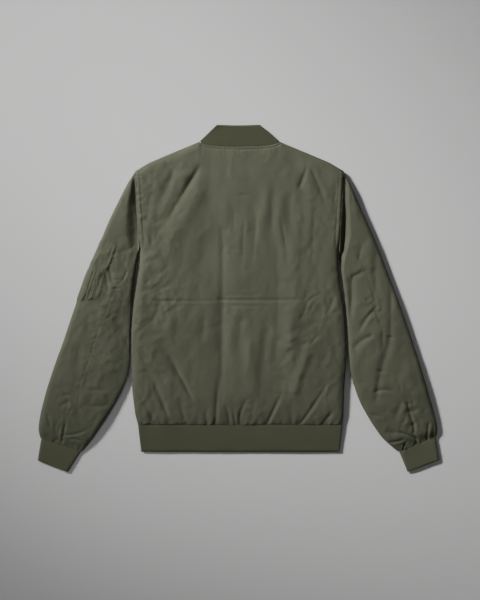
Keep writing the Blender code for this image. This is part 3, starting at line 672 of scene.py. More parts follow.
# %% Creases of the back
BACK_CREASES = (
    # Drapes from the left shoulder.
    (-76, 628, -116, 562, -178, 462, 5.0, 3.9, 0.1, 2.0, 0.35, 0.5),
    (-74, 600, -112, 510, -184, 392, 15, -3.2, 0.0, 1.2, 0.3, 0.4),
    (-140, 612, -156, 566, -188, 512, 6.5, 2.1, 0.2, 1.5, 0.25, 0.5),
    (-118, 604, -122, 590, -130, 578, 9, -1.6, 0.0, 1.1, 0.3, 0.4),
    (-190, 560, -196, 520, -204, 470, 6, 1.5, 0.3, 1.3, 0.3, 0.5),
    (-74, 470, -78, 420, -84, 350, 17, 2.4, 0.0, 1.2, 0.3, 0.4),
    # Drapes from the right shoulder.
    (70, 652, 104, 638, 122, 596, 12, 1.8, 0.0, 1.2, 0.3, 0.3),
    (146, 622, 138, 590, 126, 562, 4.0, 3.0, 0.1, 1.4, 0.5, 0.15),
    (150, 612, 170, 572, 190, 505, 4.0, 2.4, 0.1, 1.6, 0.3, 0.5),
    (148, 606, 152, 530, 152, 440, 9, -1.8, 0.0, 1.3, 0.25, 0.5),
    (206, 584, 206, 540, 204, 480, 6, 1.4, 0.3, 1.3, 0.25, 0.5),
    (57, 590, 54, 530, 44, 450, 9, -1.5, 0.0, 1.3, 0.45, 0.4),
    (70, 590, 70, 510, 66, 420, 7, 1.4, 0.0, 1.3, 0.5, 0.4),
    (96, 580, 86, 490, 98, 400, 9, -1.6, 0.0, 1.2, 0.45, 0.4),
    (112, 575, 110, 500, 120, 430, 9, 1.5, 0.0, 1.3, 0.45, 0.4),
    (32, 560, 30, 500, 28, 430, 11, 1.2, 0.0, 1.2, 0.45, 0.4),
    # Faint drapes between the press lines.
    (12, 525, 8, 455, 6, 390, 4.5, 1.0, 0.1, 1.2, 0.4, 0.4),
    (-10, 530, -12, 498, -14, 465, 4, 0.9, 0.1, 1.2, 0.4, 0.4),
    (39, 519, 32, 449, 27, 380, 5, 1.1, 0.1, 1.2, 0.4, 0.4),
    (86, 525, 96, 460, 109, 390, 5, 1.3, 0.1, 1.2, 0.4, 0.4),
    (160, 535, 158, 471, 154, 401, 5, 1.2, 0.1, 1.2, 0.4, 0.4),
    # Press lines from its folding.
    (-37, 494, -37, 330, -40, 76, 7, 1.6, 0.0, 1.0, 0.15, 0.1),
    (83, 500, 82, 320, 74, 110, 7, 0.9, 0.0, 1.1, 0.2, 0.3),
    (-200, 325, -120, 323, -40, 325, 3.0, 1.3, 0.2, 1.0, 0.2, 0.2),
    (-50, 327, 20, 325, 166, 327, 3.4, 1.7, 0.2, 1.0, 0.1, 0.2),
    (-40, 337, 10, 336, 60, 338, 3.0, 0.7, 0.2, 1.0, 0.2, 0.3),
    (-30, 316, 10, 313, 60, 315, 3.0, 0.7, 0.2, 1.0, 0.2, 0.3),
    (-8, 551, 9, 550, 27, 551, 3.4, 0.9, 0.05, 1.0, 0.35, 0.35),
    # Pinches at the left armpit.
    (-222, 452, -212, 446, -202, 438, 3.0, 1.7, 0.3, 1.0, 0.0, 0.5),
    (-222, 470, -213, 467, -203, 467, 3.0, 1.4, 0.3, 1.0, 0.0, 0.5),
    (-220, 438, -213, 431, -207, 421, 3.0, 1.4, 0.3, 1.0, 0.0, 0.5),
    # Soft pulls across the middle.
    (-166, 330, -178, 300, -192, 262, 6, 1.6, 0.0, 1.3, 0.2, 0.4),
    (-148, 300, -150, 270, -164, 236, 9, -1.8, 0.0, 1.2, 0.3, 0.4),
    (-82, 292, -78, 262, -84, 226, 7, 1.5, 0.0, 1.2, 0.3, 0.4),
    (146, 330, 138, 300, 128, 280, 4, 1.3, 0.1, 1.2, 0.2, 0.4),
    (206, 340, 196, 312, 184, 292, 5, 1.2, 0.1, 1.2, 0.2, 0.4),
    (110, 322, 110, 250, 92, 150, 15, -2.3, 0.0, 1.1, 0.15, 0.4),
    (60, 290, 54, 220, 42, 110, 10, 2.0, 0.0, 1.2, 0.3, 0.4),
    (24, 250, 20, 200, 18, 140, 8, -1.6, 0.0, 1.2, 0.3, 0.4),
    (4, 300, 0, 250, -4, 190, 9, 1.5, 0.0, 1.2, 0.3, 0.4),
    (-20, 280, -22, 240, -24, 200, 7, -1.2, 0.0, 1.2, 0.3, 0.4),
    # Pleats that the hem rib gathers.
    (-97, 102, -126, 160, -164, 226, 3.2, 4.2, 0.1, 2.0, 0.35, 0.5),
    (-150, 64, -172, 122, -200, 186, 3.6, 3.8, 0.1, 2.4, 0.3, 0.5),
    (-128, 150, -150, 200, -190, 262, 8, 2.0, 0.1, 1.6, 0.3, 0.5),
    (-182, 62, -200, 96, -222, 140, 4.5, 2.4, 0.2, 1.8, 0.0, 0.6),
    (-118, 64, -124, 96, -126, 130, 6, 1.6, 0.0, 1.4, 0.1, 0.5),
    (-70, 60, -72, 80, -64, 104, 4, 2.0, 0.2, 1.4, 0.0, 0.5),
    (-52, 58, -48, 120, -44, 180, 4.0, 2.6, 0.1, 1.5, 0.0, 0.5),
    (-22, 58, -24, 80, -34, 112, 3.4, 2.4, 0.2, 1.5, 0.0, 0.5),
    (-8, 58, -11, 74, -16, 98, 2.8, 2.2, 0.2, 1.3, 0.0, 0.5),
    (-1, 58, 6, 92, 26, 122, 3.0, 2.1, 0.05, 1.4, 0.0, 0.5),
    (60, 58, 76, 94, 98, 140, 3.4, 3.0, 0.05, 1.5, 0.0, 0.5),
    (112, 100, 132, 174, 160, 250, 9, -3.0, 0.0, 1.2, 0.25, 0.35),
    (150, 226, 160, 240, 170, 250, 3.2, 1.6, 0.1, 1.2, 0.3, 0.3),
    (131, 58, 164, 106, 206, 172, 3.2, 2.5, 0.05, 1.5, 0.0, 0.6),
    (179, 58, 192, 76, 208, 98, 3.4, 2.2, 0.05, 1.4, 0.0, 0.5),
)
print("creases on the back:", len(BACK_CREASES))


# %% Shape of the body
def side_edge(height, side):
    share = np.clip((height - UNDERARM) / (SHOULDER_POINT - UNDERARM), 0, 1)
    armhole = UNDERARM_HALF_WIDTH + share * (SHOULDER_HALF_WIDTH - UNDERARM_HALF_WIDTH)
    lower = along(SIDES, "height", "left" if side < 0 else "right", height)
    return np.where(height > UNDERARM, side * armhole, lower)


def neck_curve(x, depth):
    share = np.clip(np.abs(x) / NECK_HALF_WIDTH, 0, 1)
    return NECK_POINT - depth * np.sqrt(np.clip(1 - share**2.4, 0, 1))


def top_edge(x, depth):
    shoulder = np.interp(
        np.abs(x), (NECK_HALF_WIDTH, 195, SHOULDER_HALF_WIDTH), (NECK_POINT, 621, SHOULDER_POINT)
    )
    return np.where(np.abs(x) < NECK_HALF_WIDTH, neck_curve(x, depth), shoulder)


def hem_seam_at(x):
    """The height of the hem seam, which its gathers pull a little up and down."""
    return HEM_BAND + 1.0 * lumps_at(x, 0, 62, 77) + 0.6 * lumps_at(x, 0, 27, 78)


def body_plan(top_x, side_of, rows, depth, centre):
    """Plan points of a body panel, with their distances to its edges."""
    top = top_edge(top_x, depth)[:, None] - SEAM_GAP / 2
    foot = hem_seam_at(top_x)[:, None] + SEAM_GAP / 2
    y = foot + rows[None, :] * (top - foot)
    edge = np.where(side_of[:, None] < 0, side_edge(y, -1), side_edge(y, 1))
    edge = edge - side_of[:, None] * SEAM_GAP / 2
    share = np.clip((np.abs(top_x) - centre) / (SHOULDER_HALF_WIDTH - centre), 0, 1)[:, None]
    x = side_of[:, None] * centre * (1 - share) + edge * share
    on_shoulder = (np.abs(top_x) >= NECK_HALF_WIDTH)[:, None]
    return x, y, {
        "side": np.abs(edge - x),
        "shoulder": np.where(on_shoulder, (top - y) * 0.91, 1e3),
        "neck": np.where(on_shoulder, 1e3, top - y),
        "top": (top - y) * 0.95,
        "hem": y - foot,
        "below": 1 - eased(y, UNDERARM - 6, UNDERARM + 22),
    }


def back_columns():
    """Places across the back at shoulder height: close together near the armholes."""
    half = graded(SHOULDER_HALF_WIDTH * 2, 1.0, 2.55, 26) * 2 - 1
    return half * SHOULDER_HALF_WIDTH


# %% Make the back panel
BACK_RUMPLES = (
    (-10, 286, 34, 0.8), (108, 232, 44, 0.8), (92, 138, 32, 0.8), (28, 100, 30, 0.7),
    (173, 312, 40, 0.9), (-205, 440, 26, 0.9), (-160, 330, 44, 0.8), (0, 440, 50, 0.5),
)
PRESSED_STEPS = (  # where the cloth sinks slowly towards a pressed fold, then climbs out of it
    ("place", "fall", "climb", "depth"),
    (-37, 60, 32, 2.9),
    (84, 56, 34, 2.6),
)


def seam_dip(reach, depth, width):
    """Cloth sinks into a seam over this width."""
    return -depth * np.exp(-((reach / width) ** 2))


top_x = back_columns()
rows = graded(SHOULDER_POINT - HEM_BAND, 1.2, 2.45, 30)
side_of = np.where(top_x < 0, -1.0, 1.0)
x, y, d = body_plan(top_x, side_of, rows, NECK_POINT - BACK_NECK, 0.0)
side = 1 - (1 - rounded(d["side"], 22)) * (0.12 + 0.88 * d["below"])
swell = side * rounded(d["shoulder"], 18) * (0.4 + 0.6 * rounded(d["neck"], 40))
swell = swell * (0.3 + 0.4 * rounded(d["hem"], 24) + 0.3 * eased(d["hem"], 0, 120))
inside = np.clip(swell * 1.4, 0, 1)
rise = BACK_WALL * swell
rise += crease_heights(x, y, BACK_CREASES) * np.clip(rounded(d["side"], 14), 0, 1)
for place, fall, climb, depth in PRESSED_STEPS[1:]:
    sunk = eased(x, place - fall, place) * (1 - eased(x, place, place + climb))
    uneven = 0.85 + 0.35 * lumps_at(x, y, 70, 12)
    rise -= depth * sunk * uneven * eased(y, 80, 170) * (1 - eased(y, 430, 540))
rise += rumple_heights(x, y, BACK_RUMPLES, 30) * inside
rise += (1.1 * lumps_at(x, y, 95, 3) + 0.35 * lumps_at(x, y, 42, 8)) * inside
rise += (0.8 * lumps_at(x, y * 0.3, 30, 15) + 0.4 * lumps_at(x, y * 0.35, 15, 19)) * inside
rise += 0.35 * wrinkles_at(x, y, 52, 21, 1.35, 1.8) * inside
crumple = 0.42 * crumples_at(x, y, 24, 33, 1.3, 1.7) + 0.17 * lumps_at(x, y, 11, 37)
crumple += 0.24 * crumples_at(x, y, 13, 39, 0.9, 1.4)
rise += crumple * (1 + 0.9 * eased(np.abs(x + 20), 90, 190) + 0.6 * eased(-x, 60, 190)) * inside
rise += gather_heights(x, d["hem"], 17, 1.5, 24, 4, -226, 226) * rounded(d["side"], 10)
rise += pucker_heights(x, d["hem"], 6.5, 0.35, 7, 2)
above = 1 - d["below"]
rise += above * (seam_dip(d["side"], 1.2, 2.2) + pucker_heights(y, d["side"] - 3, 9, 0.6, 14, 6))
rise += above * seam_dip(d["side"] - 9, 0.6, 1.6)
rise += seam_dip(d["neck"], 2.0, 1.6) + pucker_heights(x, d["neck"] - 6, 8, 0.5, 12, 12)
rise += seam_dip(d["neck"] - 5.5, 2.0, 1.8)
rise += pucker_heights(x, d["neck"] - 11, 7.5, 1.3, 9, 22) * np.exp(-(((x - 4) / 42) ** 2))
rise = np.maximum(rise, 0.4 + 1.2 * np.minimum(rounded(d["side"], 5), rounded(d["shoulder"], 5)))
back = cloth_from("back_shell", points(x, y, level_of(y) + rise), np.stack([x, y], axis=-1), twill)

# %% [markdown]
# ## The two fronts
# The fronts lie against the surface, so most of each is flat. Folds pressed between the
# jacket's own weight and the table lift off as shallow hollows, like those on the back.

# %% Make the fronts
FRONT_CREASES = (
    # For the wearer's left front; the other is mirrored and moved a little.
    (-120, 62, -142, 130, -176, 214, 7, 2.6, 0.0, 1.9, 0.0, 0.5),
    (-62, 62, -70, 110, -82, 168, 6, 2.6, 0.0, 1.6, 0.0, 0.5),
    (-180, 62, -190, 110, -206, 160, 6, 2.2, 0.0, 1.6, 0.0, 0.5),
    (-202, 430, -160, 384, -112, 350, 9, 2.4, 0.0, 1.5, 0.2, 0.5),
    (-150, 600, -140, 540, -118, 480, 8, 2.0, 0.0, 1.4, 0.2, 0.5),
    (-30, 325, -110, 323, -180, 327, 4, 1.1, 0.0, 1.0, 0.1, 0.2),
    (-70, 540, -74, 420, -70, 260, 6, 1.2, 0.0, 1.0, 0.2, 0.3),
)


def front_panel(name, side_sign, seed):
    at = graded(SHOULDER_HALF_WIDTH - ZIP_CHANNEL, 1.3, 3.4, 24) * (SHOULDER_HALF_WIDTH - ZIP_CHANNEL)
    top_x = side_sign * (ZIP_CHANNEL + at)
    rows = graded(SHOULDER_POINT - HEM_BAND, 1.6, 3.6, 26)
    x, y, d = body_plan(
        top_x, np.full(len(top_x), float(side_sign)), rows, NECK_POINT - FRONT_NECK, ZIP_CHANNEL
    )
    side = 1 - (1 - rounded(d["side"], 22)) * (0.3 + 0.7 * d["below"])
    centre = np.abs(x) - ZIP_CHANNEL
    fall = level_of(y) * side * rounded(d["shoulder"], 18) * (0.72 + 0.28 * rounded(centre, 5))
    lift = -crease_heights(x * -side_sign + seed, y, FRONT_CREASES)
    lift += np.clip(0.9 * wrinkles_at(x, y, 58, 40 + seed, 1.2, 1.6) - 0.35, 0, None)
    lift -= gather_heights(x, d["hem"], 17, 1.6, 24, 14 + seed, -226, 226)
    lift += 0.5 * seam_dip(centre - 8, -1.0, 1.4)
    lift = np.clip(lift, 0, None) * eased(d["side"], 6, 26) * eased(centre, 2, 10)
    fall = np.minimum(fall, level_of(y) - 0.05) - np.minimum(lift, level_of(y) - 3.2)
    return cloth_from(
        name, points(x, y, level_of(y) - fall), np.stack([x, y], axis=-1), twill, facing="down"
    )


left_front = front_panel("left_front_shell", -1, 0)
right_front = front_panel("right_front_shell", 1, 7)

# %% [markdown]
# ## The sleeves
# Each sleeve is two pieces, joined by a puckered seam down its back and another under
# it. A sleeve is described by lines across it, from its outer fold to its inner fold, so
# any point is a row down the sleeve and a share of the way across.

# %% Creases of the sleeves
LEFT_SLEEVE_CREASES = (
    # Beside the armhole.
    (-262, 560, -266, 520, -272, 478, 9, 0.9, 0.0, 1.2, 0.3, 0.5),
    (-226, 444, -244, 430, -262, 426, 5, 1.3, 0.2, 1.2, 0.1, 0.5),
    (-238, 428, -246, 410, -246, 392, 4, 1.4, 0.2, 1.0, 0.2, 0.4),
    # Round the pocket.
    (-291, 394, -285, 368, -280, 338, 5, 2.0, 0.1, 0.9, 0.3, 0.3),
    (-281, 408, -277, 382, -275, 356, 4.5, 1.8, 0.1, 1.0, 0.3, 0.3),
    (-274, 370, -265, 368, -256, 370, 2.6, 0.9, 0.4, 1.0, 0.3, 0.3),
    (-267, 361, -261, 359, -254, 359, 2.6, 0.9, 0.4, 1.0, 0.3, 0.3),
    (-277, 351, -268, 349, -256, 352, 2.6, 1.3, 0.4, 1.0, 0.3, 0.3),
    (-242, 390, -246, 378, -253, 364, 3.6, 1.2, 0.2, 1.0, 0.2, 0.3),
    (-292, 342, -282, 330, -270, 328, 3.6, 1.2, 0.3, 1.0, 0.2, 0.3),
    (-297, 312, -278, 301, -264, 290, 4.2, 2.4, 0.2, 1.8, 0.2, 0.45),
    (-274, 302, -258, 274, -243, 240, 11, 2.8, 0.05, 1.3, 0.35, 0.4),
    (-244, 246, -242, 234, -241, 218, 5, 1.6, 0.1, 1.0, 0.2, 0.4),
    # Down the forearm.
    (-345, 236, -346, 204, -356, 168, 8, 1.6, 0.0, 1.2, 0.3, 0.4),
    (-322, 300, -326, 270, -330, 240, 7, 0.9, 0.0, 1.2, 0.3, 0.4),
    (-288, 196, -274, 189, -256, 184, 6, 1.3, 0.1, 1.2, 0.3, 0.4),
    (-300, 214, -288, 210, -276, 212, 5, 1.1, 0.1, 1.2, 0.3, 0.4),
    (-328, 134, -305, 132, -281, 131, 4.0, 1.9, 0.1, 1.0, 0.3, 0.3),
    (-320, 118, -300, 116, -284, 119, 8, -1.2, 0.0, 1.0, 0.3, 0.3),
    (-332, 96, -304, 97, -276, 101, 5.0, 1.6, 0.05, 1.0, 0.3, 0.3),
    (-388, 92, -364, 105, -338, 80, 4.5, 1.7, 0.15, 1.0, 0.2, 0.3),
    (-382, 119, -374, 121, -364, 118, 4, 1.4, 0.2, 1.0, 0.3, 0.3),
    (-413, 82, -410, 66, -404, 50, 4, 1.7, 0.2, 1.2, 0.3, 0.2),
    (-406, 150, -401, 141, -392, 128, 4, 1.1, 0.2, 1.2, 0.3, 0.3),
    # At the cuff.
    (-373, 64, -377, 44, -381, 22, 3.0, 1.8, 0.3, 1.0, 0.3, 0.0),
    (-386, 60, -389, 42, -390, 24, 3.0, 1.5, 0.3, 1.0, 0.3, 0.0),
    (-381, 37, -352, 37, -317, 53, 2.8, 2.2, 0.05, 1.3, 0.08, 0.5),
    (-366, 26, -350, 26, -332, 20, 3.4, 1.7, 0.2, 1.2, 0.1, 0.4),
    (-398, 60, -396, 50, -394, 36, 3.6, 1.4, 0.2, 1.0, 0.3, 0.0),
)
RIGHT_SLEEVE_CREASES = (
    # The folds that fall from the armhole.
    (241, 578, 249, 530, 251, 470, 8, -1.2, 0.0, 1.1, 0.2, 0.4),
    (267, 442, 258, 425, 257, 394, 6.5, 1.7, 0.0, 1.0, 0.25, 0.4),
    (277, 456, 278, 420, 279, 376, 8, -1.0, 0.0, 1.1, 0.2, 0.3),
    (268, 390, 255, 381, 239, 374, 6.0, 2.1, 0.1, 0.9, 0.3, 0.15),
    (240, 380, 241, 325, 236, 276, 7.5, 2.6, 0.0, 0.7, 0.15, 0.3),
    (291, 440, 293, 380, 291, 318, 8, 1.5, 0.1, 1.0, 0.25, 0.3),
    (268, 330, 276, 327, 284, 330, 3.6, 1.3, 0.3, 1.0, 0.3, 0.3),
    (286, 318, 292, 312, 294, 304, 4.0, 1.5, 0.3, 1.0, 0.3, 0.3),
    (297, 302, 277, 291, 252, 248, 4.2, 2.4, 0.25, 1.2, 0.2, 0.3),
    # Across and down the forearm.
    (290, 249, 266, 240, 240, 216, 4.6, 2.7, 0.25, 2.0, 0.2, 0.15),
    (326, 368, 325, 300, 325, 240, 6.5, 1.9, 0.0, 1.1, 0.2, 0.05),
    (325, 250, 314, 206, 302, 168, 8, 2.6, 0.1, 1.1, 0.05, 0.05),
    (303, 176, 298, 140, 290, 96, 7, 2.2, 0.1, 0.7, 0.05, 0.3),
    (307, 264, 307, 238, 305, 210, 5, 1.4, 0.0, 1.2, 0.3, 0.2),
    (282, 123, 308, 132, 334, 127, 3.4, 2.3, 0.25, 1.0, 0.2, 0.2),
    (350, 108, 343, 92, 329, 64, 4.5, 1.9, 0.1, 1.4, 0.2, 0.3),
    (278, 85, 292, 77, 312, 74, 3.6, 1.6, 0.2, 1.0, 0.3, 0.4),
    (352, 150, 358, 142, 366, 146, 4.5, 1.0, 0.2, 1.0, 0.3, 0.3),
    # Puckers at the end of the back seam.
    (358, 118, 365, 88, 374, 58, 3.4, 2.0, 0.2, 1.0, 0.25, 0.0),
    (375, 64, 376, 50, 372, 36, 3.2, 2.0, 0.2, 1.0, 0.0, 0.2),
    (359, 106, 368, 102, 380, 105, 3.0, 1.5, 0.3, 1.0, 0.2, 0.3),
    (363, 90, 372, 86, 383, 89, 3.0, 1.5, 0.3, 1.0, 0.2, 0.3),
    (355, 76, 353, 67, 349, 58, 4.5, 1.5, 0.2, 1.0, 0.3, 0.3),
    # At the cuff.
    (341, 42, 362, 35, 383, 25, 3.0, 3.0, 0.3, 1.2, 0.15, 0.05),
    (321, 20, 338, 21, 358, 28, 3.0, 2.3, 0.3, 1.0, 0.1, 0.3),
    (314, 44, 330, 40, 346, 43, 4.5, 1.5, 0.2, 1.0, 0.2, 0.3),
    (409, 68, 405, 46, 403, 27, 3.0, 2.3, 0.2, 1.2, 0.3, 0.0),
    (418, 58, 417, 44, 416, 30, 3.2, 1.3, 0.2, 1.2, 0.3, 0.0),
)
print("sleeve creases:", len(LEFT_SLEEVE_CREASES), len(RIGHT_SLEEVE_CREASES))


# %% Shape of a sleeve
SLEEVE_LENGTH = 615.0


def smooth_lines(table, steps=131):
    """A sleeve's lines read at even steps and smoothed, so its outline has no kinks."""
    at = np.linspace(0, len(table) - 2, steps)
    lines = {}
    for name in table[0]:
        values = np.interp(at, np.arange(len(table) - 1), column(table, name))
        for _ in range(16):
            inner = (values[:-2] + 2 * values[1:-1] + values[2:]) / 4
            values = np.concatenate([values[:1], inner, values[-1:]])
        lines[name] = values
    return lines


def sleeve_lines(lines, down, share):
    """Plan point, the way across, and the middle's level: down runs from the armhole, 0,
    to the cuff, 1, and share from the outer fold, 0, to the inner fold, 1."""
    down, share = np.broadcast_arrays(down, share)
    at = np.linspace(0, 1, len(lines["level"]))
    read = {name: np.interp(down, at, values) for name, values in lines.items()}
    outer = np.stack([read["outer x"], read["outer height"]], axis=-1)
    across = np.stack([read["inner x"], read["inner height"]], axis=-1) - outer
    plan = outer + across * share[..., None]
    joined = 1 - eased(down, 0, 0.115)
    level = level_of(plan[..., 1]) * joined + read["level"] * (1 - joined)
    return plan, across, level


BACK_SEAMS = (
    ("down", "left", "right", "left pucker", "right pucker"),
    (0.0, 0.86, 0.62, 0.1, 0.0), (0.15, 0.76, 0.52, 0.2, 0.05), (0.31, 0.68, 0.45, 0.35, 0.3),
    (0.42, 0.61, 0.41, 0.45, 0.8), (0.5, 0.55, 0.42, 0.7, 0.4), (0.59, 0.47, 0.43, 0.8, 0.15),
    (0.68, 0.43, 0.40, 0.7, 0.15), (0.8, 0.43, 0.36, 0.35, 0.35), (0.9, 0.45, 0.40, 0.5, 1.0),
    (1.0, 0.47, 0.48, 1.0, 0.8),
)


def seam_share(down, side_sign):
    """Where a sleeve's back seam runs between its outer and its inner fold."""
    return along(BACK_SEAMS, "down", side_word(side_sign), down)


ARMHOLE_TROUGHS = {  # the sleeve falls away from the body and climbs again, in millimetres
    -1: (
        ("height", "depth", "fall", "climb"),
        (410, 0, 5, 20), (430, 2, 5, 20), (446, 7, 4, 24), (465, 9, 3.5, 27), (500, 9.5, 3, 25),
        (540, 8, 3, 18), (570, 5, 2.5, 11), (600, 2, 2, 6),
    ),
    1: (
        ("height", "depth", "fall", "climb"),
        (385, 0, 4, 8), (405, 7, 4, 8), (422, 10, 6, 10), (440, 11.5, 7, 14), (465, 11.5, 8, 17),
        (500, 10.5, 7, 14), (540, 7, 5.5, 11), (575, 3.2, 5, 9), (600, 1.2, 4, 6),
    ),
}


def armhole_trough(x, y, side_sign):
    """The trough in a sleeve along its armhole seam."""
    away = np.abs(x - side_edge(y, side_sign))
    table = ARMHOLE_TROUGHS[side_sign]
    depth, fall, climb = (along(table, "height", word, y) for word in table[0][1:])
    return -depth * (eased(away, 0, fall) - eased(away, fall, fall + climb))


def sleeve_top(sleeve, down, share, lift=0.0):
    """Points on the upper side of a sleeve, with its creases, gathers and puckers."""
    plan, across, level = sleeve_lines(sleeve["lines"], down, share)
    x, y, seed = plan[..., 0], plan[..., 1], sleeve["seed"]
    width = np.linalg.norm(across, axis=-1)
    edge = np.minimum(share, 1 - share) * width
    swell = (0.62 * rounded(edge, 11) + 0.38 * rounded(edge, 46)) * (1 - 0.52 * eased(down, 0.92, 1.0))
    swell = swell * (0.78 + 0.22 * eased(down, 0.0, 0.05))
    inside = rounded(edge, 20)
    rise = SLEEVE_WALL * swell + crease_heights(x, y, sleeve["creases"]) * inside
    rise += (0.8 * lumps_at(x, y, 70, seed) + 0.5 * lumps_at(x, y, 33, seed + 4)) * inside
    rise += armhole_trough(x, y, sleeve["side"]) * rounded(edge, 4)
    fall = sleeve["fall"] * (1 - eased((1 - share) * width, 0, 62)) * rounded(edge, 14)
    rise -= fall * eased(down, 0.35, 0.5) * (1 - eased(down, 0.7, 0.85))
    rise += 0.9 * crumples_at(x, y, 42, seed + 11, 1.57 + 0.35 * sleeve["side"], 1.8) * inside
    rise += (0.6 * crumples_at(x, y, 21, seed + 17, 0.9, 1.5) + 0.26 * lumps_at(x, y, 12, seed + 3)) * inside
    over, from_cuff, from_armhole = share * width, (1 - down) * SLEEVE_LENGTH, down * SLEEVE_LENGTH
    rise += gather_heights(over, from_cuff, 11, 1.8, 24, seed + 2, 0, 170) * inside
    rise += seam_dip(from_armhole, 1.0, 2.2)
    rise += pucker_heights(over, from_armhole - 3, 9, 0.5, 12, seed)
    from_seam = (share - seam_share(down, sleeve["side"])) * width
    sewn = along(BACK_SEAMS, "down", side_word(sleeve["side"]) + " pucker", down)
    rise += seam_dip(from_seam, 0.7, 3.0) * sewn
    rise += pucker_heights(from_cuff + 0.6 * np.abs(from_seam), from_seam, 12, 0.6, 13, seed + 5) * sewn
    rise += rumple_heights(x, y, sleeve["rumples"], seed) * inside
    lowest = 0.5 + 1.4 * rounded(edge, 8) + (1.6 - level) * rounded(edge, 20)
    return points(x, y, level + np.maximum(rise, lowest) + lift * rounded(edge, 6))


def sleeve_bottom(sleeve, down, share):
    """Points on the side that lies on the table: flat, with a few hollows."""
    plan, across, level = sleeve_lines(sleeve["lines"], down, share)
    x, y = plan[..., 0], plan[..., 1]
    edge = np.minimum(share, 1 - share) * np.linalg.norm(across, axis=-1)
    lift = np.clip(1.4 * wrinkles_at(x, y, 44, sleeve["seed"] + 31, 0.4, 1.6) - 0.5, 0, None)
    lift = lift * eased(edge, 12, 30) * eased(down, 0.04, 0.15) * (1 - eased(down, 0.88, 0.96))
    return points(x, y, level * (1 - rounded(edge, 20)) + lift)


# %% Make the sleeves
def sleeve_piece(name, sleeve, outer_half):
    down = graded(SLEEVE_LENGTH, 1.3, 2.3, 24)[:, None]
    width = np.linalg.norm(sleeve_lines(sleeve["lines"], down, 0.0)[1], axis=-1)
    seam, half_gap = seam_share(down, sleeve["side"]), SEAM_CLOSED / width
    over = np.linspace(0, 1, 48)[None, :] ** 1.5
    beneath = 1 - np.cos(np.linspace(0, math.pi / 2, 15))[None, :]
    if outer_half:
        upper, lower = (seam - half_gap) * over, (0.5 - half_gap) * beneath
    else:
        upper = 1 - (1 - seam - half_gap) * over
        lower = 1 - (0.5 - half_gap) * beneath
    above = sleeve_top(sleeve, down + 0 * upper, upper)
    below = sleeve_bottom(sleeve, down + 0 * lower, lower)
    grid = np.concatenate([above[:, ::-1], below[:, 1:]], axis=1)
    grid[0, :, 0] += sleeve["side"] * SEAM_GAP / 2
    step = grid[-2] - grid[-1]
    grid[-1] += step / np.linalg.norm(step, axis=-1, keepdims=True) * SEAM_GAP / 2
    return cloth_from(name, grid, arc_uv(grid), twill, facing="out")


sleeves, sleeve_pieces = {}, {}
LEFT_RUMPLES = (
    (-266, 358, 36, 1.0), (-262, 420, 26, 0.7), (-300, 272, 30, 0.7), (-320, 215, 26, 0.7),
    (-330, 150, 34, 0.5), (-380, 66, 28, 0.4), (-300, 70, 34, 0.5), (-244, 300, 30, 0.5),
    (-280, 190, 30, 0.5), (-360, 110, 30, 0.5),
)
RIGHT_RUMPLES = (
    (284, 320, 24, 0.6), (298, 292, 22, 0.7), (262, 400, 26, 0.5), (352, 140, 26, 0.5),
    (366, 98, 24, 0.9), (372, 60, 24, 0.9), (325, 52, 30, 0.7), (400, 70, 26, 0.4),
)
for word, side_sign, table, creases, rumples, seed in (
    ("left", -1, LEFT_SLEEVE, LEFT_SLEEVE_CREASES, LEFT_RUMPLES, 50),
    ("right", 1, RIGHT_SLEEVE, RIGHT_SLEEVE_CREASES, RIGHT_RUMPLES, 90),
):
    sleeves[word] = {
        "lines": smooth_lines(table), "creases": creases, "rumples": rumples,
        "seed": seed, "side": side_sign, "fall": 5.0 if side_sign < 0 else 2.0,
    }
    for half in ("outer", "under"):
        key = f"{word}_sleeve_{half}"
        sleeve_pieces[key] = sleeve_piece(f"{key}_shell", sleeves[word], half == "outer")

# %% [markdown]
# ## The utility pocket
# A patch pocket sits on the left sleeve and wraps round its outer fold, with a narrower
# pen pocket stitched on its lower half in channels. Its layers of cloth make it stiffer
# and more puckered than the sleeve, so it gets its own closer wrinkles.

# %% Make the pockets
# Corners: rows of the left sleeve's table at the top and foot of the fold edge, then of the
# rear edge, and how far the rear edge is across the sleeve.
SLEEVE_POCKET = (3.75, 6.3, 3.05, 6.0, 0.38)
PEN_POCKET = (5.0, 6.2, 4.75, 6.05, 0.27)
POCKET_LIFT = 0.9
PEN_LIFT = 1.7
POCKET_CLOTH = 0.9
POCKET_LENGTH, POCKET_WIDTH = 130, 42  # the patch as it counts its way in from its edges


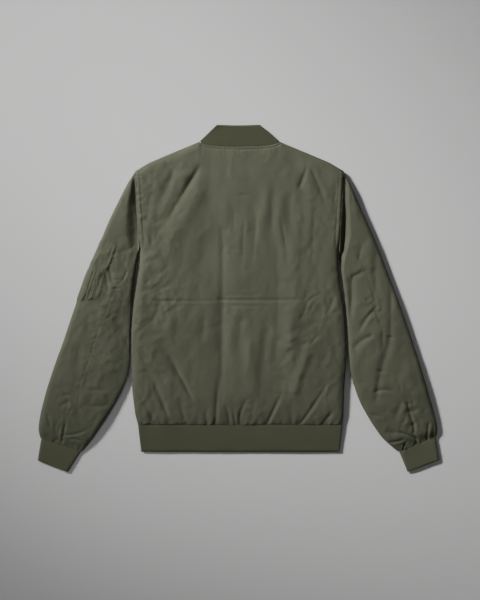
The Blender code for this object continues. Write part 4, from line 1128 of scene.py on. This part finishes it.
def pocket_grid(corners, lift, seed, amount, channels=()):
    top_fold, foot_fold, top_rear, foot_rear, rear = corners
    turn = np.linspace(0, 1, 44)[None, :] ** 1.5
    fall = np.linspace(0, 1, 66)[:, None]
    first = top_fold + (top_rear - top_fold) * turn
    last = foot_fold + (foot_rear - foot_fold) * turn
    down, share = (first + (last - first) * fall) / (len(LEFT_SLEEVE) - 2), rear * turn + 0 * fall
    plan, across, _ = sleeve_lines(sleeves["left"]["lines"], down, share)
    outward = -across / np.linalg.norm(across, axis=-1, keepdims=True)
    from_edge = np.minimum(
        np.minimum(fall, 1 - fall) * POCKET_LENGTH, (1 - turn) * POCKET_WIDTH + 0 * fall
    )
    sewn_down = lift - 0.55 * (1 - rounded(from_edge, 5))
    grid = sleeve_top(sleeves["left"], down, share, sewn_down)
    x, y = plan[..., 0], plan[..., 1]
    rumple = amount * (0.7 * wrinkles_at(x, y, 19, seed, 0.9, 1.3) + 0.5 * lumps_at(x, y, 15, seed + 2))
    rumple += amount * 0.35 * wrinkles_at(x, y, 9, seed + 7, 0.2, 1.2)
    rumple = np.clip(rumple, -0.7, None) * (0.25 + 0.75 * rounded(from_edge, 7))
    rumple += 0.15 * amount * np.sin(fall * 75 + 4 * lumps_at(x, y, 30, seed + 1)) * np.exp(-from_edge / 6)
    rumple += seam_dip(from_edge - 2.2, 0.3, 1.0) + seam_dip(from_edge - 8.0, 0.4, 1.0)
    for at in channels:
        rumple += seam_dip((turn - at) * POCKET_WIDTH, 0.8, 1.0)
    grid[..., 2] += rumple * rounded(share * 100, 8)
    round_edge = (1 - eased(share, 0.0, 0.05))[..., None]
    grid[..., :2] += outward * round_edge * (lift + 0.5 * np.clip(rumple, 0, None))[..., None]
    return grid


pocket_points = pocket_grid(SLEEVE_POCKET, POCKET_LIFT, 5, 1.1)
pen_points = pocket_grid(PEN_POCKET, PEN_LIFT, 5, 0.9, (0.45, 0.66))
pocket, pen = (
    cloth_from(name, grid, arc_uv(grid), pocket_twill, thickness=POCKET_CLOTH)
    for name, grid in (("sleeve_pocket_shell", pocket_points), ("pen_pocket_shell", pen_points))
)

# %% [markdown]
# ## Knitted ribs
# The collar, the hem band and the cuffs are doubled rib knit. Each is a strip whose ribs
# stand across it, so the strip is sampled several times a rib and the ribs are real
# waves in the mesh. The free edge is a fold, so it rounds over to the middle.

# %% Rib strips
RIB_PITCH = 2.2
RIB_HEIGHT = 0.2
RIB_WALL = 3.2
RIB_STEPS = 6  # points along each rib's wave
STRIP_RIPPLE = (1.3, 38)  # the height and the size of the slow waves in a strip


def rib_rows(count):
    """Shares of the way from the seam to the folded edge, closer near the fold."""
    return 0.5 * np.linspace(0, 1, count) + 0.5 * np.sin(np.linspace(0, math.pi / 2, count))


def rib_wave(run, wobble):
    """The height of the ribs, from 0 on a crest down to twice RIB_HEIGHT in a groove."""
    return RIB_HEIGHT * (np.cos(2 * math.pi * (run + wobble) / RIB_PITCH) - 1)


def rib_strip(seam_line, free_line, facing, levels, width, seed):
    """A strip from a sewn line to a free, folded one. facing goes from -1, underneath,
    through 0 on a side fold to 1, above. Both lines are lists of plan points."""
    seam_line, free_line = np.array(seam_line, float), np.array(free_line, float)
    step = np.hypot(*np.diff((seam_line + free_line) / 2, axis=0).T)
    turn = np.diff(facing) * (levels[0] + RIB_WALL) / 2
    run = np.concatenate([[0], np.cumsum(np.hypot(step, turn))])
    even = np.arange(0, run[-1], RIB_PITCH / RIB_STEPS)
    seam_line, free_line = (
        np.stack([np.interp(even, run, line[:, k]) for k in (0, 1)], axis=-1)
        for line in (seam_line, free_line)
    )
    face, even = np.interp(even, run, facing)[:, None], even[:, None]
    share = rib_rows(13)[None, :]
    plan = seam_line[:, None] + (free_line - seam_line)[:, None] * share[..., None]
    level = levels[0] + (levels[1] - levels[0]) * share
    fold = rounded((1 - share) * width, 2.4)
    wobble = 0.5 * lumps_at(even, share * width, 26, seed)
    ripple = STRIP_RIPPLE[0] * lumps_at(even, share * width, STRIP_RIPPLE[1], seed + 1) - 0.3
    ribs = rib_wave(even, wobble)
    above = RIB_WALL * (0.85 + 0.15 * rounded(share * width, 3)) + ribs + ripple
    below = level + np.maximum(-0.6, ribs * 0.5)
    body = np.where(face > 0, face * above, face * below) * fold
    uv = np.stack([even + wobble, share * width + 0 * even], axis=-1)
    return points(plan[..., 0], plan[..., 1], level + body), uv


def hem_lines():
    """The band from one front edge round the side folds and across the back."""
    seam, free, facing = [], [], []
    top = HEM_BAND - SEAM_GAP / 2
    for side_sign in (-1, 1):
        edge = float(along(SIDES, "height", side_word(side_sign), HEM_BAND))
        front = side_sign * ZIP_CHANNEL
        run = [(front, front, -1.0), (edge - side_sign * 10, edge - side_sign * 17, -1.0)]
        for turn in np.linspace(-math.pi / 2, math.pi / 2, 15)[1:-1]:
            back = 5 * (1 - math.cos(turn))
            run.append((edge - side_sign * back, edge - side_sign * (7 + back), math.sin(turn)))
        run.append((edge - side_sign * 10, edge - side_sign * 17, 1.0))
        if side_sign > 0:
            run = run[::-1]
        for a, b, f in run:
            seam.append((a, top))
            free.append((b, 0.0))
            facing.append(f)
    return seam, free, facing


hem_seam, hem_free, hem_facing = hem_lines()
hem_points, hem_uv = rib_strip(
    hem_seam, hem_free, hem_facing, (level_of(HEM_BAND), level_of(0.0)), HEM_BAND, 61
)
up_the_band = np.clip(hem_points[..., 1] / HEM_BAND, 0, 1)
hem_points[..., 1] += up_the_band * (hem_seam_at(hem_points[..., 0]) - HEM_BAND) - 1.6 * (1 - up_the_band)
hem = cloth_from("hem_band_knit", hem_points, hem_uv, hem_rib_painted_light, facing="out")

# %% The collar
COLLAR_TOP = 703.0
COLLAR_TOP_HALF_WIDTH = 46.5
COLLAR_LEAN = -2.5
COLLAR_WIDTH = 47
COLLAR_EDGE = (
    ("share", "front x", "front height", "back x", "back height"),
    (0.0, 9.5, 598, 0, 702),
    (0.3, 18, 609, 14, 702),
    (0.6, 29, 636, 28, 702.5),
    (0.85, 38, 672, 39, COLLAR_TOP),
    (1.0, COLLAR_TOP_HALF_WIDTH, COLLAR_TOP, COLLAR_TOP_HALF_WIDTH, COLLAR_TOP),
)


def collar_end(seam_x, part, depth, side_sign):
    share = seam_x / NECK_HALF_WIDTH
    slope = neck_curve(seam_x + 0.5, depth) - neck_curve(seam_x - 0.5, depth)
    clear = SEAM_GAP / math.hypot(1, slope)
    low = (
        side_sign * (seam_x - clear * slope * min(1, seam_x / 20)),
        float(neck_curve(seam_x, depth)) + clear,
    )
    high = (
        side_sign * float(along(COLLAR_EDGE, "share", f"{part} x", share)) + COLLAR_LEAN,
        float(along(COLLAR_EDGE, "share", f"{part} height", share)),
    )
    return low, high


def collar_half(side_sign):
    """From the zip up the front neckline, round the fold, to the centre of the back."""
    made = []
    front = NECK_POINT - FRONT_NECK
    for seam_x in np.linspace(ZIP_CHANNEL, NECK_HALF_WIDTH - 2.5, 40):
        made.append((*collar_end(seam_x, "front", front, side_sign), -1.0))
    low, high = collar_end(NECK_HALF_WIDTH, "back", 0, side_sign)
    for turn in np.linspace(-math.pi / 2, math.pi / 2, 13)[1:-1]:
        back = side_sign * 3.2 * (1 - math.cos(turn))
        made.append(((low[0] - back, low[1]), (high[0] - back, high[1]), math.sin(turn)))
    for seam_x in np.linspace(NECK_HALF_WIDTH - 4, 0, 30):
        made.append((*collar_end(seam_x, "back", NECK_POINT - BACK_NECK, side_sign), 1.0))
    return made


collar_run = collar_half(-1) + collar_half(1)[-2::-1]
collar_levels = (level_of(NECK_POINT), level_of(COLLAR_TOP))
collar_points, collar_uv = rib_strip(*zip(*collar_run), collar_levels, COLLAR_WIDTH, 71)
collar = cloth_from("collar_knit", collar_points, collar_uv, rib, facing="out")

# %% The cuffs
CUFF_LENGTH = 56
CUFF_RIPPLE = (0.9, 34)
CUFFS = {  # the outer and the inner corner of each folded edge
    "left": ((-435, -20), (-370, -45)),
    "right": ((431, -19), (362, -45)),
}


def cuff_grid(lines, end, seed):
    """A flattened tube of rib, all the way round."""
    a0 = np.array([lines["outer x"][-1], lines["outer height"][-1]])
    b0 = np.array([lines["inner x"][-1], lines["inner height"][-1]])
    a0, b0 = a0 + (b0 - a0) * 0.02, b0 + (a0 - b0) * 0.03
    a1, b1 = np.array(end[0], float), np.array(end[1], float)
    down = (a1 + b1 - a0 - b0) / np.linalg.norm(a1 + b1 - a0 - b0)
    a0, b0 = a0 + down * SEAM_GAP / 2, b0 + down * SEAM_GAP / 2
    width = float(np.linalg.norm(a0 - b0) + np.linalg.norm(a1 - b1)) / 2
    count = int(round(width / RIB_PITCH)) * RIB_STEPS
    half = np.linspace(0, 1, count, endpoint=False)
    half = 0.75 * half + 0.25 * (0.5 - 0.5 * np.cos(math.pi * half))
    share = np.concatenate([half, 1 - half])[:, None]
    top = np.concatenate([np.ones(count), -np.ones(count)])[:, None]
    run = np.arange(2 * count)[:, None] * RIB_PITCH / RIB_STEPS
    fall = rib_rows(17)[None, :]
    a, b = a0 + (a1 - a0) * fall[..., None], b0 + (b1 - b0) * fall[..., None]
    plan = a + (b - a) * share[..., None]
    level = RIB_WALL + 0.4
    edge = np.minimum(share, 1 - share) * width
    fold = 0.5 + 0.5 * rounded((1 - fall) * CUFF_LENGTH, 3.0)
    body = level * rounded(edge, 9) * (0.75 + 0.25 * rounded(fall * CUFF_LENGTH, 6))
    ribs = rib_wave(run, 0.5 * lumps_at(run, fall * CUFF_LENGTH, 26, seed)) * rounded(edge, 9)
    ripple = CUFF_RIPPLE[0] * lumps_at(run, fall * CUFF_LENGTH, CUFF_RIPPLE[1], seed + 1) * rounded(edge, 9)
    z = np.where(top > 0, level + (body + ribs + ripple) * fold, level - (body + ribs * 0.4) * fold)
    z = np.maximum(z, 0.0)
    uv = np.stack([run + 0 * fall, fall * CUFF_LENGTH + 0 * run], axis=-1)
    return points(plan[..., 0], plan[..., 1], z), uv


cuffs = {}
for word, seed in (("left", 81), ("right", 87)):
    cuff_points, cuff_uv = cuff_grid(sleeves[word]["lines"], CUFFS[word], seed)
    cuffs[word] = cloth_from(f"{word}_cuff_knit", cuff_points, cuff_uv, cuff_rib_painted_light, "out", closed=True)

# %% [markdown]
# ## Stitches
# Topstitching holds each seam flat: beside the armholes, under the collar and round the
# pockets. One stitch is a small pointed bead. Rows of them are joined into one mesh that
# lies on the cloth, each stitch placed on the surface and turned along the row.


# %% Lay rows of stitches
STITCH_LENGTH = 2.6
STITCH_STEP = 3.3
STITCH_RADIUS = 0.32
ARMHOLE_INSET, NECK_INSET, SLEEVE_INSET = 9.0, 5.5, 5.0  # from each seam to its row


def surface_of(*pieces):
    return [BVHTree.FromObject(piece, bpy.context.evaluated_depsgraph_get()) for piece in pieces]


def dropped(trees, path):
    """Plan points, in tailor's millimetres, dropped on the highest surface under them."""
    found = []
    for px, py in path:
        start = Vector((px * MM, (py - HEM_TO_ORIGIN) * MM, 0.1))
        hits = [hit for hit in (tree.ray_cast(start, Vector((0, 0, -1))) for tree in trees) if hit[0]]
        if hits:
            best = max(hits, key=lambda hit: hit[0].z)
            found.append((np.array(best[0]), np.array(best[1])))
    return found


def stitch_row(trees, path, vertices, faces):
    """Adds a row of stitches along a path to the lists."""
    path = np.array(path, float)
    step = np.hypot(*np.diff(path, axis=0).T)
    run = np.concatenate([[0], np.cumsum(step)])
    starts = np.arange(0.5, run[-1] - STITCH_LENGTH, STITCH_STEP)
    at = np.stack([starts, starts + STITCH_LENGTH], axis=1).reshape(-1)
    plan = np.stack([np.interp(at, run, path[:, k]) for k in (0, 1)], axis=-1)
    laid = dropped(trees, plan)
    if len(laid) < len(plan):
        laid = laid[: len(laid) // 2 * 2]
    for (a, normal_a), (b, _) in zip(laid[::2], laid[1::2]):
        way = (b - a) / max(np.linalg.norm(b - a), 1e-9)
        side = np.cross(normal_a, way)
        side /= max(np.linalg.norm(side), 1e-9)
        up = np.cross(way, side)
        base = len(vertices)
        r = STITCH_RADIUS * MM
        vertices.append(a)
        for share in (0.25, 0.75):
            middle = a + (b - a) * share + up * r * 0.45
            vertices.extend([middle + side * r, middle + up * r * 0.8, middle - side * r, middle - up * r])
        vertices.append(b)
        for k in range(4):
            n = (k + 1) % 4
            faces.append((base, base + 1 + n, base + 1 + k))
            faces.append((base + 1 + k, base + 1 + n, base + 5 + n, base + 5 + k))
            faces.append((base + 9, base + 5 + k, base + 5 + n))


def stitches(name, trees, paths):
    vertices, faces = [], []
    for path in paths:
        stitch_row(trees, path, vertices, faces)
    mesh = bpy.data.meshes.new(name)
    mesh.from_pydata([tuple(v) for v in vertices], [], faces)
    mesh.materials.append(thread)
    mesh.shade_smooth()
    piece = linked(name, mesh)
    with_mesh = bmesh.new()
    with_mesh.from_mesh(mesh)
    bmesh.ops.recalc_face_normals(with_mesh, faces=with_mesh.faces)
    with_mesh.to_mesh(mesh)
    with_mesh.free()
    print(name, len(faces) // 12, "stitches")
    return piece


# %% Stitch the armholes and the neck
body_top = surface_of(back)
heights = np.linspace(UNDERARM + 4, SHOULDER_POINT - 12, 60)
armhole_paths = [
    [(float(side_edge(h, sign)) - sign * ARMHOLE_INSET, h) for h in heights] for sign in (-1, 1)
]
neck_x = np.linspace(-NECK_HALF_WIDTH + 10, NECK_HALF_WIDTH - 10, 80)
neck_path = [(nx, float(neck_curve(nx, NECK_POINT - BACK_NECK)) - NECK_INSET) for nx in neck_x]
back_stitches = stitches("back_topstitching", body_top, armhole_paths + [neck_path])

# %% Stitch the sleeve seams and the pocket
sleeve_stitches = {}
for word in ("left", "right"):
    trees = surface_of(*(sleeve_pieces[f"{word}_sleeve_{half}"] for half in ("outer", "under")))
    down = np.linspace(0.3, 0.985, 200)
    seam = seam_share(down, sleeves[word]["side"])
    plan, across, _ = sleeve_lines(sleeves[word]["lines"], down, seam)
    width = np.linalg.norm(across, axis=-1)
    path = plan + across / width[:, None] * SLEEVE_INSET
    sleeve_stitches[word] = stitches(f"{word}_sleeve_topstitching", trees, [path])


def grid_path(grid, first, last):
    """A line on a patch's grid: along its top, down its rear edge and back along its foot."""
    plan = grid[..., :2]
    top = plan[first, 6:-4]
    rear = plan[first:last, -4]
    foot = plan[last, 6:-4][::-1]
    return np.concatenate([top, rear, foot])


pocket_tree, pen_tree = surface_of(pocket), surface_of(pen)
pen_paths = [grid_path(pen_points, 2, -3), pen_points[4:-4, 25, :2], pen_points[4:-4, 33, :2]]
pocket_stitches = stitches("pocket_topstitching", pocket_tree, [grid_path(pocket_points, 1, -2)])
pen_stitches = stitches("pen_pocket_topstitching", pen_tree, pen_paths)

# %% [markdown]
# ## The front zip
# The zip runs down the underside. Two woven tapes keep the shape that the frame gives
# them. The chain is two rows of metal teeth that mesh: one tooth is modelled and copied
# along the zip. The slider is two plates round a wedge, with a bridge that holds the pull
# tab, and the tab turns on that bridge.

# %% Modelling helpers
def start_box(name, low, high):
    """A cube primitive stretched between two corners given in metres, selected and active."""
    bpy.ops.object.select_all(action="DESELECT")
    middle = [(a + b) / 2 for a, b in zip(low, high)]
    bpy.ops.mesh.primitive_cube_add(size=1, location=middle)
    box = bpy.context.object
    box.name = name
    box.scale = [b - a for a, b in zip(low, high)]
    bpy.ops.object.transform_apply(location=True, rotation=True, scale=True)
    return box


def pick_faces(box, axis, sign):
    """Edit mode with only the faces that look along one axis selected."""
    bpy.ops.object.mode_set(mode="EDIT")
    bpy.ops.mesh.select_mode(type="FACE")
    bpy.ops.mesh.select_all(action="DESELECT")
    mesh = bmesh.from_edit_mesh(box.data)
    for face in mesh.faces:
        face.select_set(face.normal[axis] * sign > 0.9)
    bmesh.update_edit_mesh(box.data)


def cut_out(piece, *cutters):
    """Takes the cutters' shapes out of a piece, then removes the cutters."""
    for cutter in cutters:
        cut = piece.modifiers.new(cutter.name, "BOOLEAN")
        cut.operation = "DIFFERENCE"
        cut.object = cutter
    applied(piece)
    for cutter in cutters:
        bpy.data.objects.remove(cutter)


def soften(box, width, segments=2):
    bevel = box.modifiers.new("soften", "BEVEL")
    bevel.width = width
    bevel.segments = segments
    bevel.limit_method = "ANGLE"
    applied(box)
    bpy.ops.object.shade_smooth_by_angle(angle=math.radians(40))


def joined(name, parts, material):
    bpy.ops.object.select_all(action="DESELECT")
    for part in parts:
        part.select_set(True)
    bpy.context.view_layer.objects.active = parts[0]
    if len(parts) > 1:
        bpy.ops.object.join()
    whole = bpy.context.object
    whole.name = name
    whole.data.materials.clear()
    whole.data.materials.append(material)
    return whole


# %% The chain of teeth
TOOTH_PITCH = 2.6 * MM
chain_low, chain_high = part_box("zip_chain")
CHAIN_START = 30.0  # the height whose level the straight rows are made at
ground = level_of(CHAIN_START) * MM - 1.9 * MM


def tooth_row(side_sign, start):
    """One side's teeth: a head that reaches past the middle, and a body on the tape."""
    low = (-0.9 * MM, start, ground - 1.25 * MM)
    high = (2.5 * MM, start + 1.25 * MM, ground + 1.25 * MM)
    tooth = start_box("tooth", low, high)
    pick_faces(tooth, 0, -1)
    bpy.ops.mesh.extrude_region_move(TRANSFORM_OT_translate={"value": (-0.7 * MM, 0, 0)})
    bpy.ops.transform.resize(value=(1, 0.55, 0.7))
    bpy.ops.object.mode_set(mode="OBJECT")
    soften(tooth, 0.15 * MM, 1)
    repeat = tooth.modifiers.new("repeat", "ARRAY")
    repeat.use_relative_offset = False
    repeat.use_constant_offset = True
    repeat.constant_offset_displace = (0, TOOTH_PITCH, 0)
    repeat.count = int((chain_high.y - start) / TOOTH_PITCH)
    applied(tooth)
    if side_sign < 0:
        bpy.ops.object.mode_set(mode="EDIT")
        bpy.ops.mesh.select_all(action="SELECT")
        bpy.ops.transform.mirror(constraint_axis=(True, False, False))
        bpy.ops.mesh.normals_make_consistent(inside=False)
        bpy.ops.object.mode_set(mode="OBJECT")
    return tooth


rows_of_teeth = [tooth_row(1, chain_low.y + 0.4 * MM), tooth_row(-1, chain_low.y + 1.7 * MM)]
teeth = joined("zip_teeth", rows_of_teeth, nickel)
heights_now = np.zeros(len(teeth.data.vertices) * 3)
teeth.data.vertices.foreach_get("co", heights_now)
heights_now = heights_now.reshape(-1, 3)
tooth_heights = heights_now[:, 1] / MM + HEM_TO_ORIGIN
heights_now[:, 2] += (level_of(tooth_heights) - level_of(CHAIN_START)) * MM
teeth.data.vertices.foreach_set("co", heights_now.reshape(-1))
print("teeth: faces", len(teeth.data.polygons))

# %% The slider
slider_low, slider_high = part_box("zip_slider")
plate = 1.0 * MM


def slider_plate(name, bottom, top):
    """A plate with a narrower tail, as its channel closes round the joined teeth."""
    low = (slider_low.x, slider_low.y, bottom)
    high = (slider_high.x, slider_high.y, top)
    made = start_box(name, low, high)
    pick_faces(made, 1, -1)
    bpy.ops.transform.resize(value=(0.72, 1, 1))
    bpy.ops.object.mode_set(mode="OBJECT")
    soften(made, 0.35 * MM)
    return made


arch_low = (-1.3 * MM, slider_high.y - 10.4 * MM, slider_low.z)
arch_high = (1.3 * MM, slider_high.y - 3.0 * MM, slider_low.z + 3.2 * MM)
bridge = start_box("bridge", arch_low, arch_high)
hole_low = (-2 * MM, arch_low[1] + 1.0 * MM, arch_low[2] + 0.8 * MM)
hole = start_box("hole", hole_low, (2 * MM, arch_high[1] - 1.0 * MM, arch_high[2] + MM))
cut_out(bridge, hole)
soften(bridge, 0.15 * MM, 1)
under_plate = slider_low.z + 2.4 * MM
wedge_low = (-1.9 * MM, slider_low.y + 0.3 * MM, under_plate)
wedge = start_box("wedge", wedge_low, (1.9 * MM, slider_high.y - 0.3 * MM, slider_high.z - 0.3 * MM))
plates = [
    slider_plate("outer_plate", under_plate, under_plate + plate),
    slider_plate("inner_plate", slider_high.z - plate, slider_high.z),
]
slider = joined("zip_slider_body", [*plates, bridge, wedge], nickel)
print("slider: faces", len(slider.data.polygons))

# %% The pull tab
joint = frame["joints"][0]
hinge = Vector(joint["pos_m"])
pull_low, pull_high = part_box("zip_pull")
TAB_THICKNESS = 1.4 * MM
tab_length = hinge.y - pull_low.y
tab = start_box(
    "zip_pull_tab",
    (pull_low.x, pull_low.y, hinge.z - TAB_THICKNESS / 2),
    (pull_high.x, hinge.y + 0.9 * MM, hinge.z + TAB_THICKNESS / 2),
)
window_low = (-1.7 * MM, hinge.y - 9.5 * MM, hinge.z - MM)
window = start_box("window", window_low, (1.7 * MM, hinge.y - 0.9 * MM, hinge.z + MM))
grip_low = (-1.5 * MM, pull_low.y + 4 * MM, hinge.z - MM)
grip = start_box("grip", grip_low, (1.5 * MM, pull_low.y + 7.5 * MM, hinge.z + MM))
cut_out(tab, window, grip)
soften(tab, 0.3 * MM)
bpy.ops.object.mode_set(mode="EDIT")
bpy.ops.mesh.select_all(action="SELECT")
tilt = math.asin((hinge.z - TAB_THICKNESS / 2 - pull_low.z) / tab_length)
bpy.ops.transform.rotate(value=-tilt, orient_axis="X", center_override=tuple(hinge))
bpy.ops.object.mode_set(mode="OBJECT")
tab = joined("zip_pull_tab", [tab], nickel)
print("pull tab low, mm:", round(min((v.co.z for v in tab.data.vertices)) * 1000, 2))

# %% [markdown]
# ## What rides on what
# Every piece of cloth rides on the jacket's body, and only the pull tab has its own. Each
# shell stands for the plain solid of its panel. The tapes keep their frame shapes, with
# a weave that reads object coordinates, because those meshes have no map of their own.

# %% Ride and replace
SHELLS = {
    "back": back, "left_front": left_front, "right_front": right_front, **sleeve_pieces,
    "sleeve_pocket": pocket, "pen_pocket": pen,
}
RIBS = {"collar": collar, "hem_band": hem, "left_cuff": cuffs["left"], "right_cuff": cuffs["right"]}
METAL = {"zip_chain": teeth, "zip_slider": slider, "zip_pull": tab}
for finish, pieces in (("olive_twill", SHELLS), ("olive_rib", RIBS), ("dark_nickel", METAL)):
    for node, piece in pieces.items():
        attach(piece, "pull" if node == "zip_pull" else "jacket")
        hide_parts(node)
for piece in (back_stitches, *sleeve_stitches.values(), pocket_stitches, pen_stitches):
    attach(piece, "jacket")
for node in ("zip_tape_left", "zip_tape_right"):
    tape = frame["nodes"][node]
    tape.data.materials.clear()
    tape.data.materials.append(tape_cloth)
print("riding:", len(SHELLS), "shells,", len(RIBS), "ribs,", len(METAL), "metal pieces and the stitches")
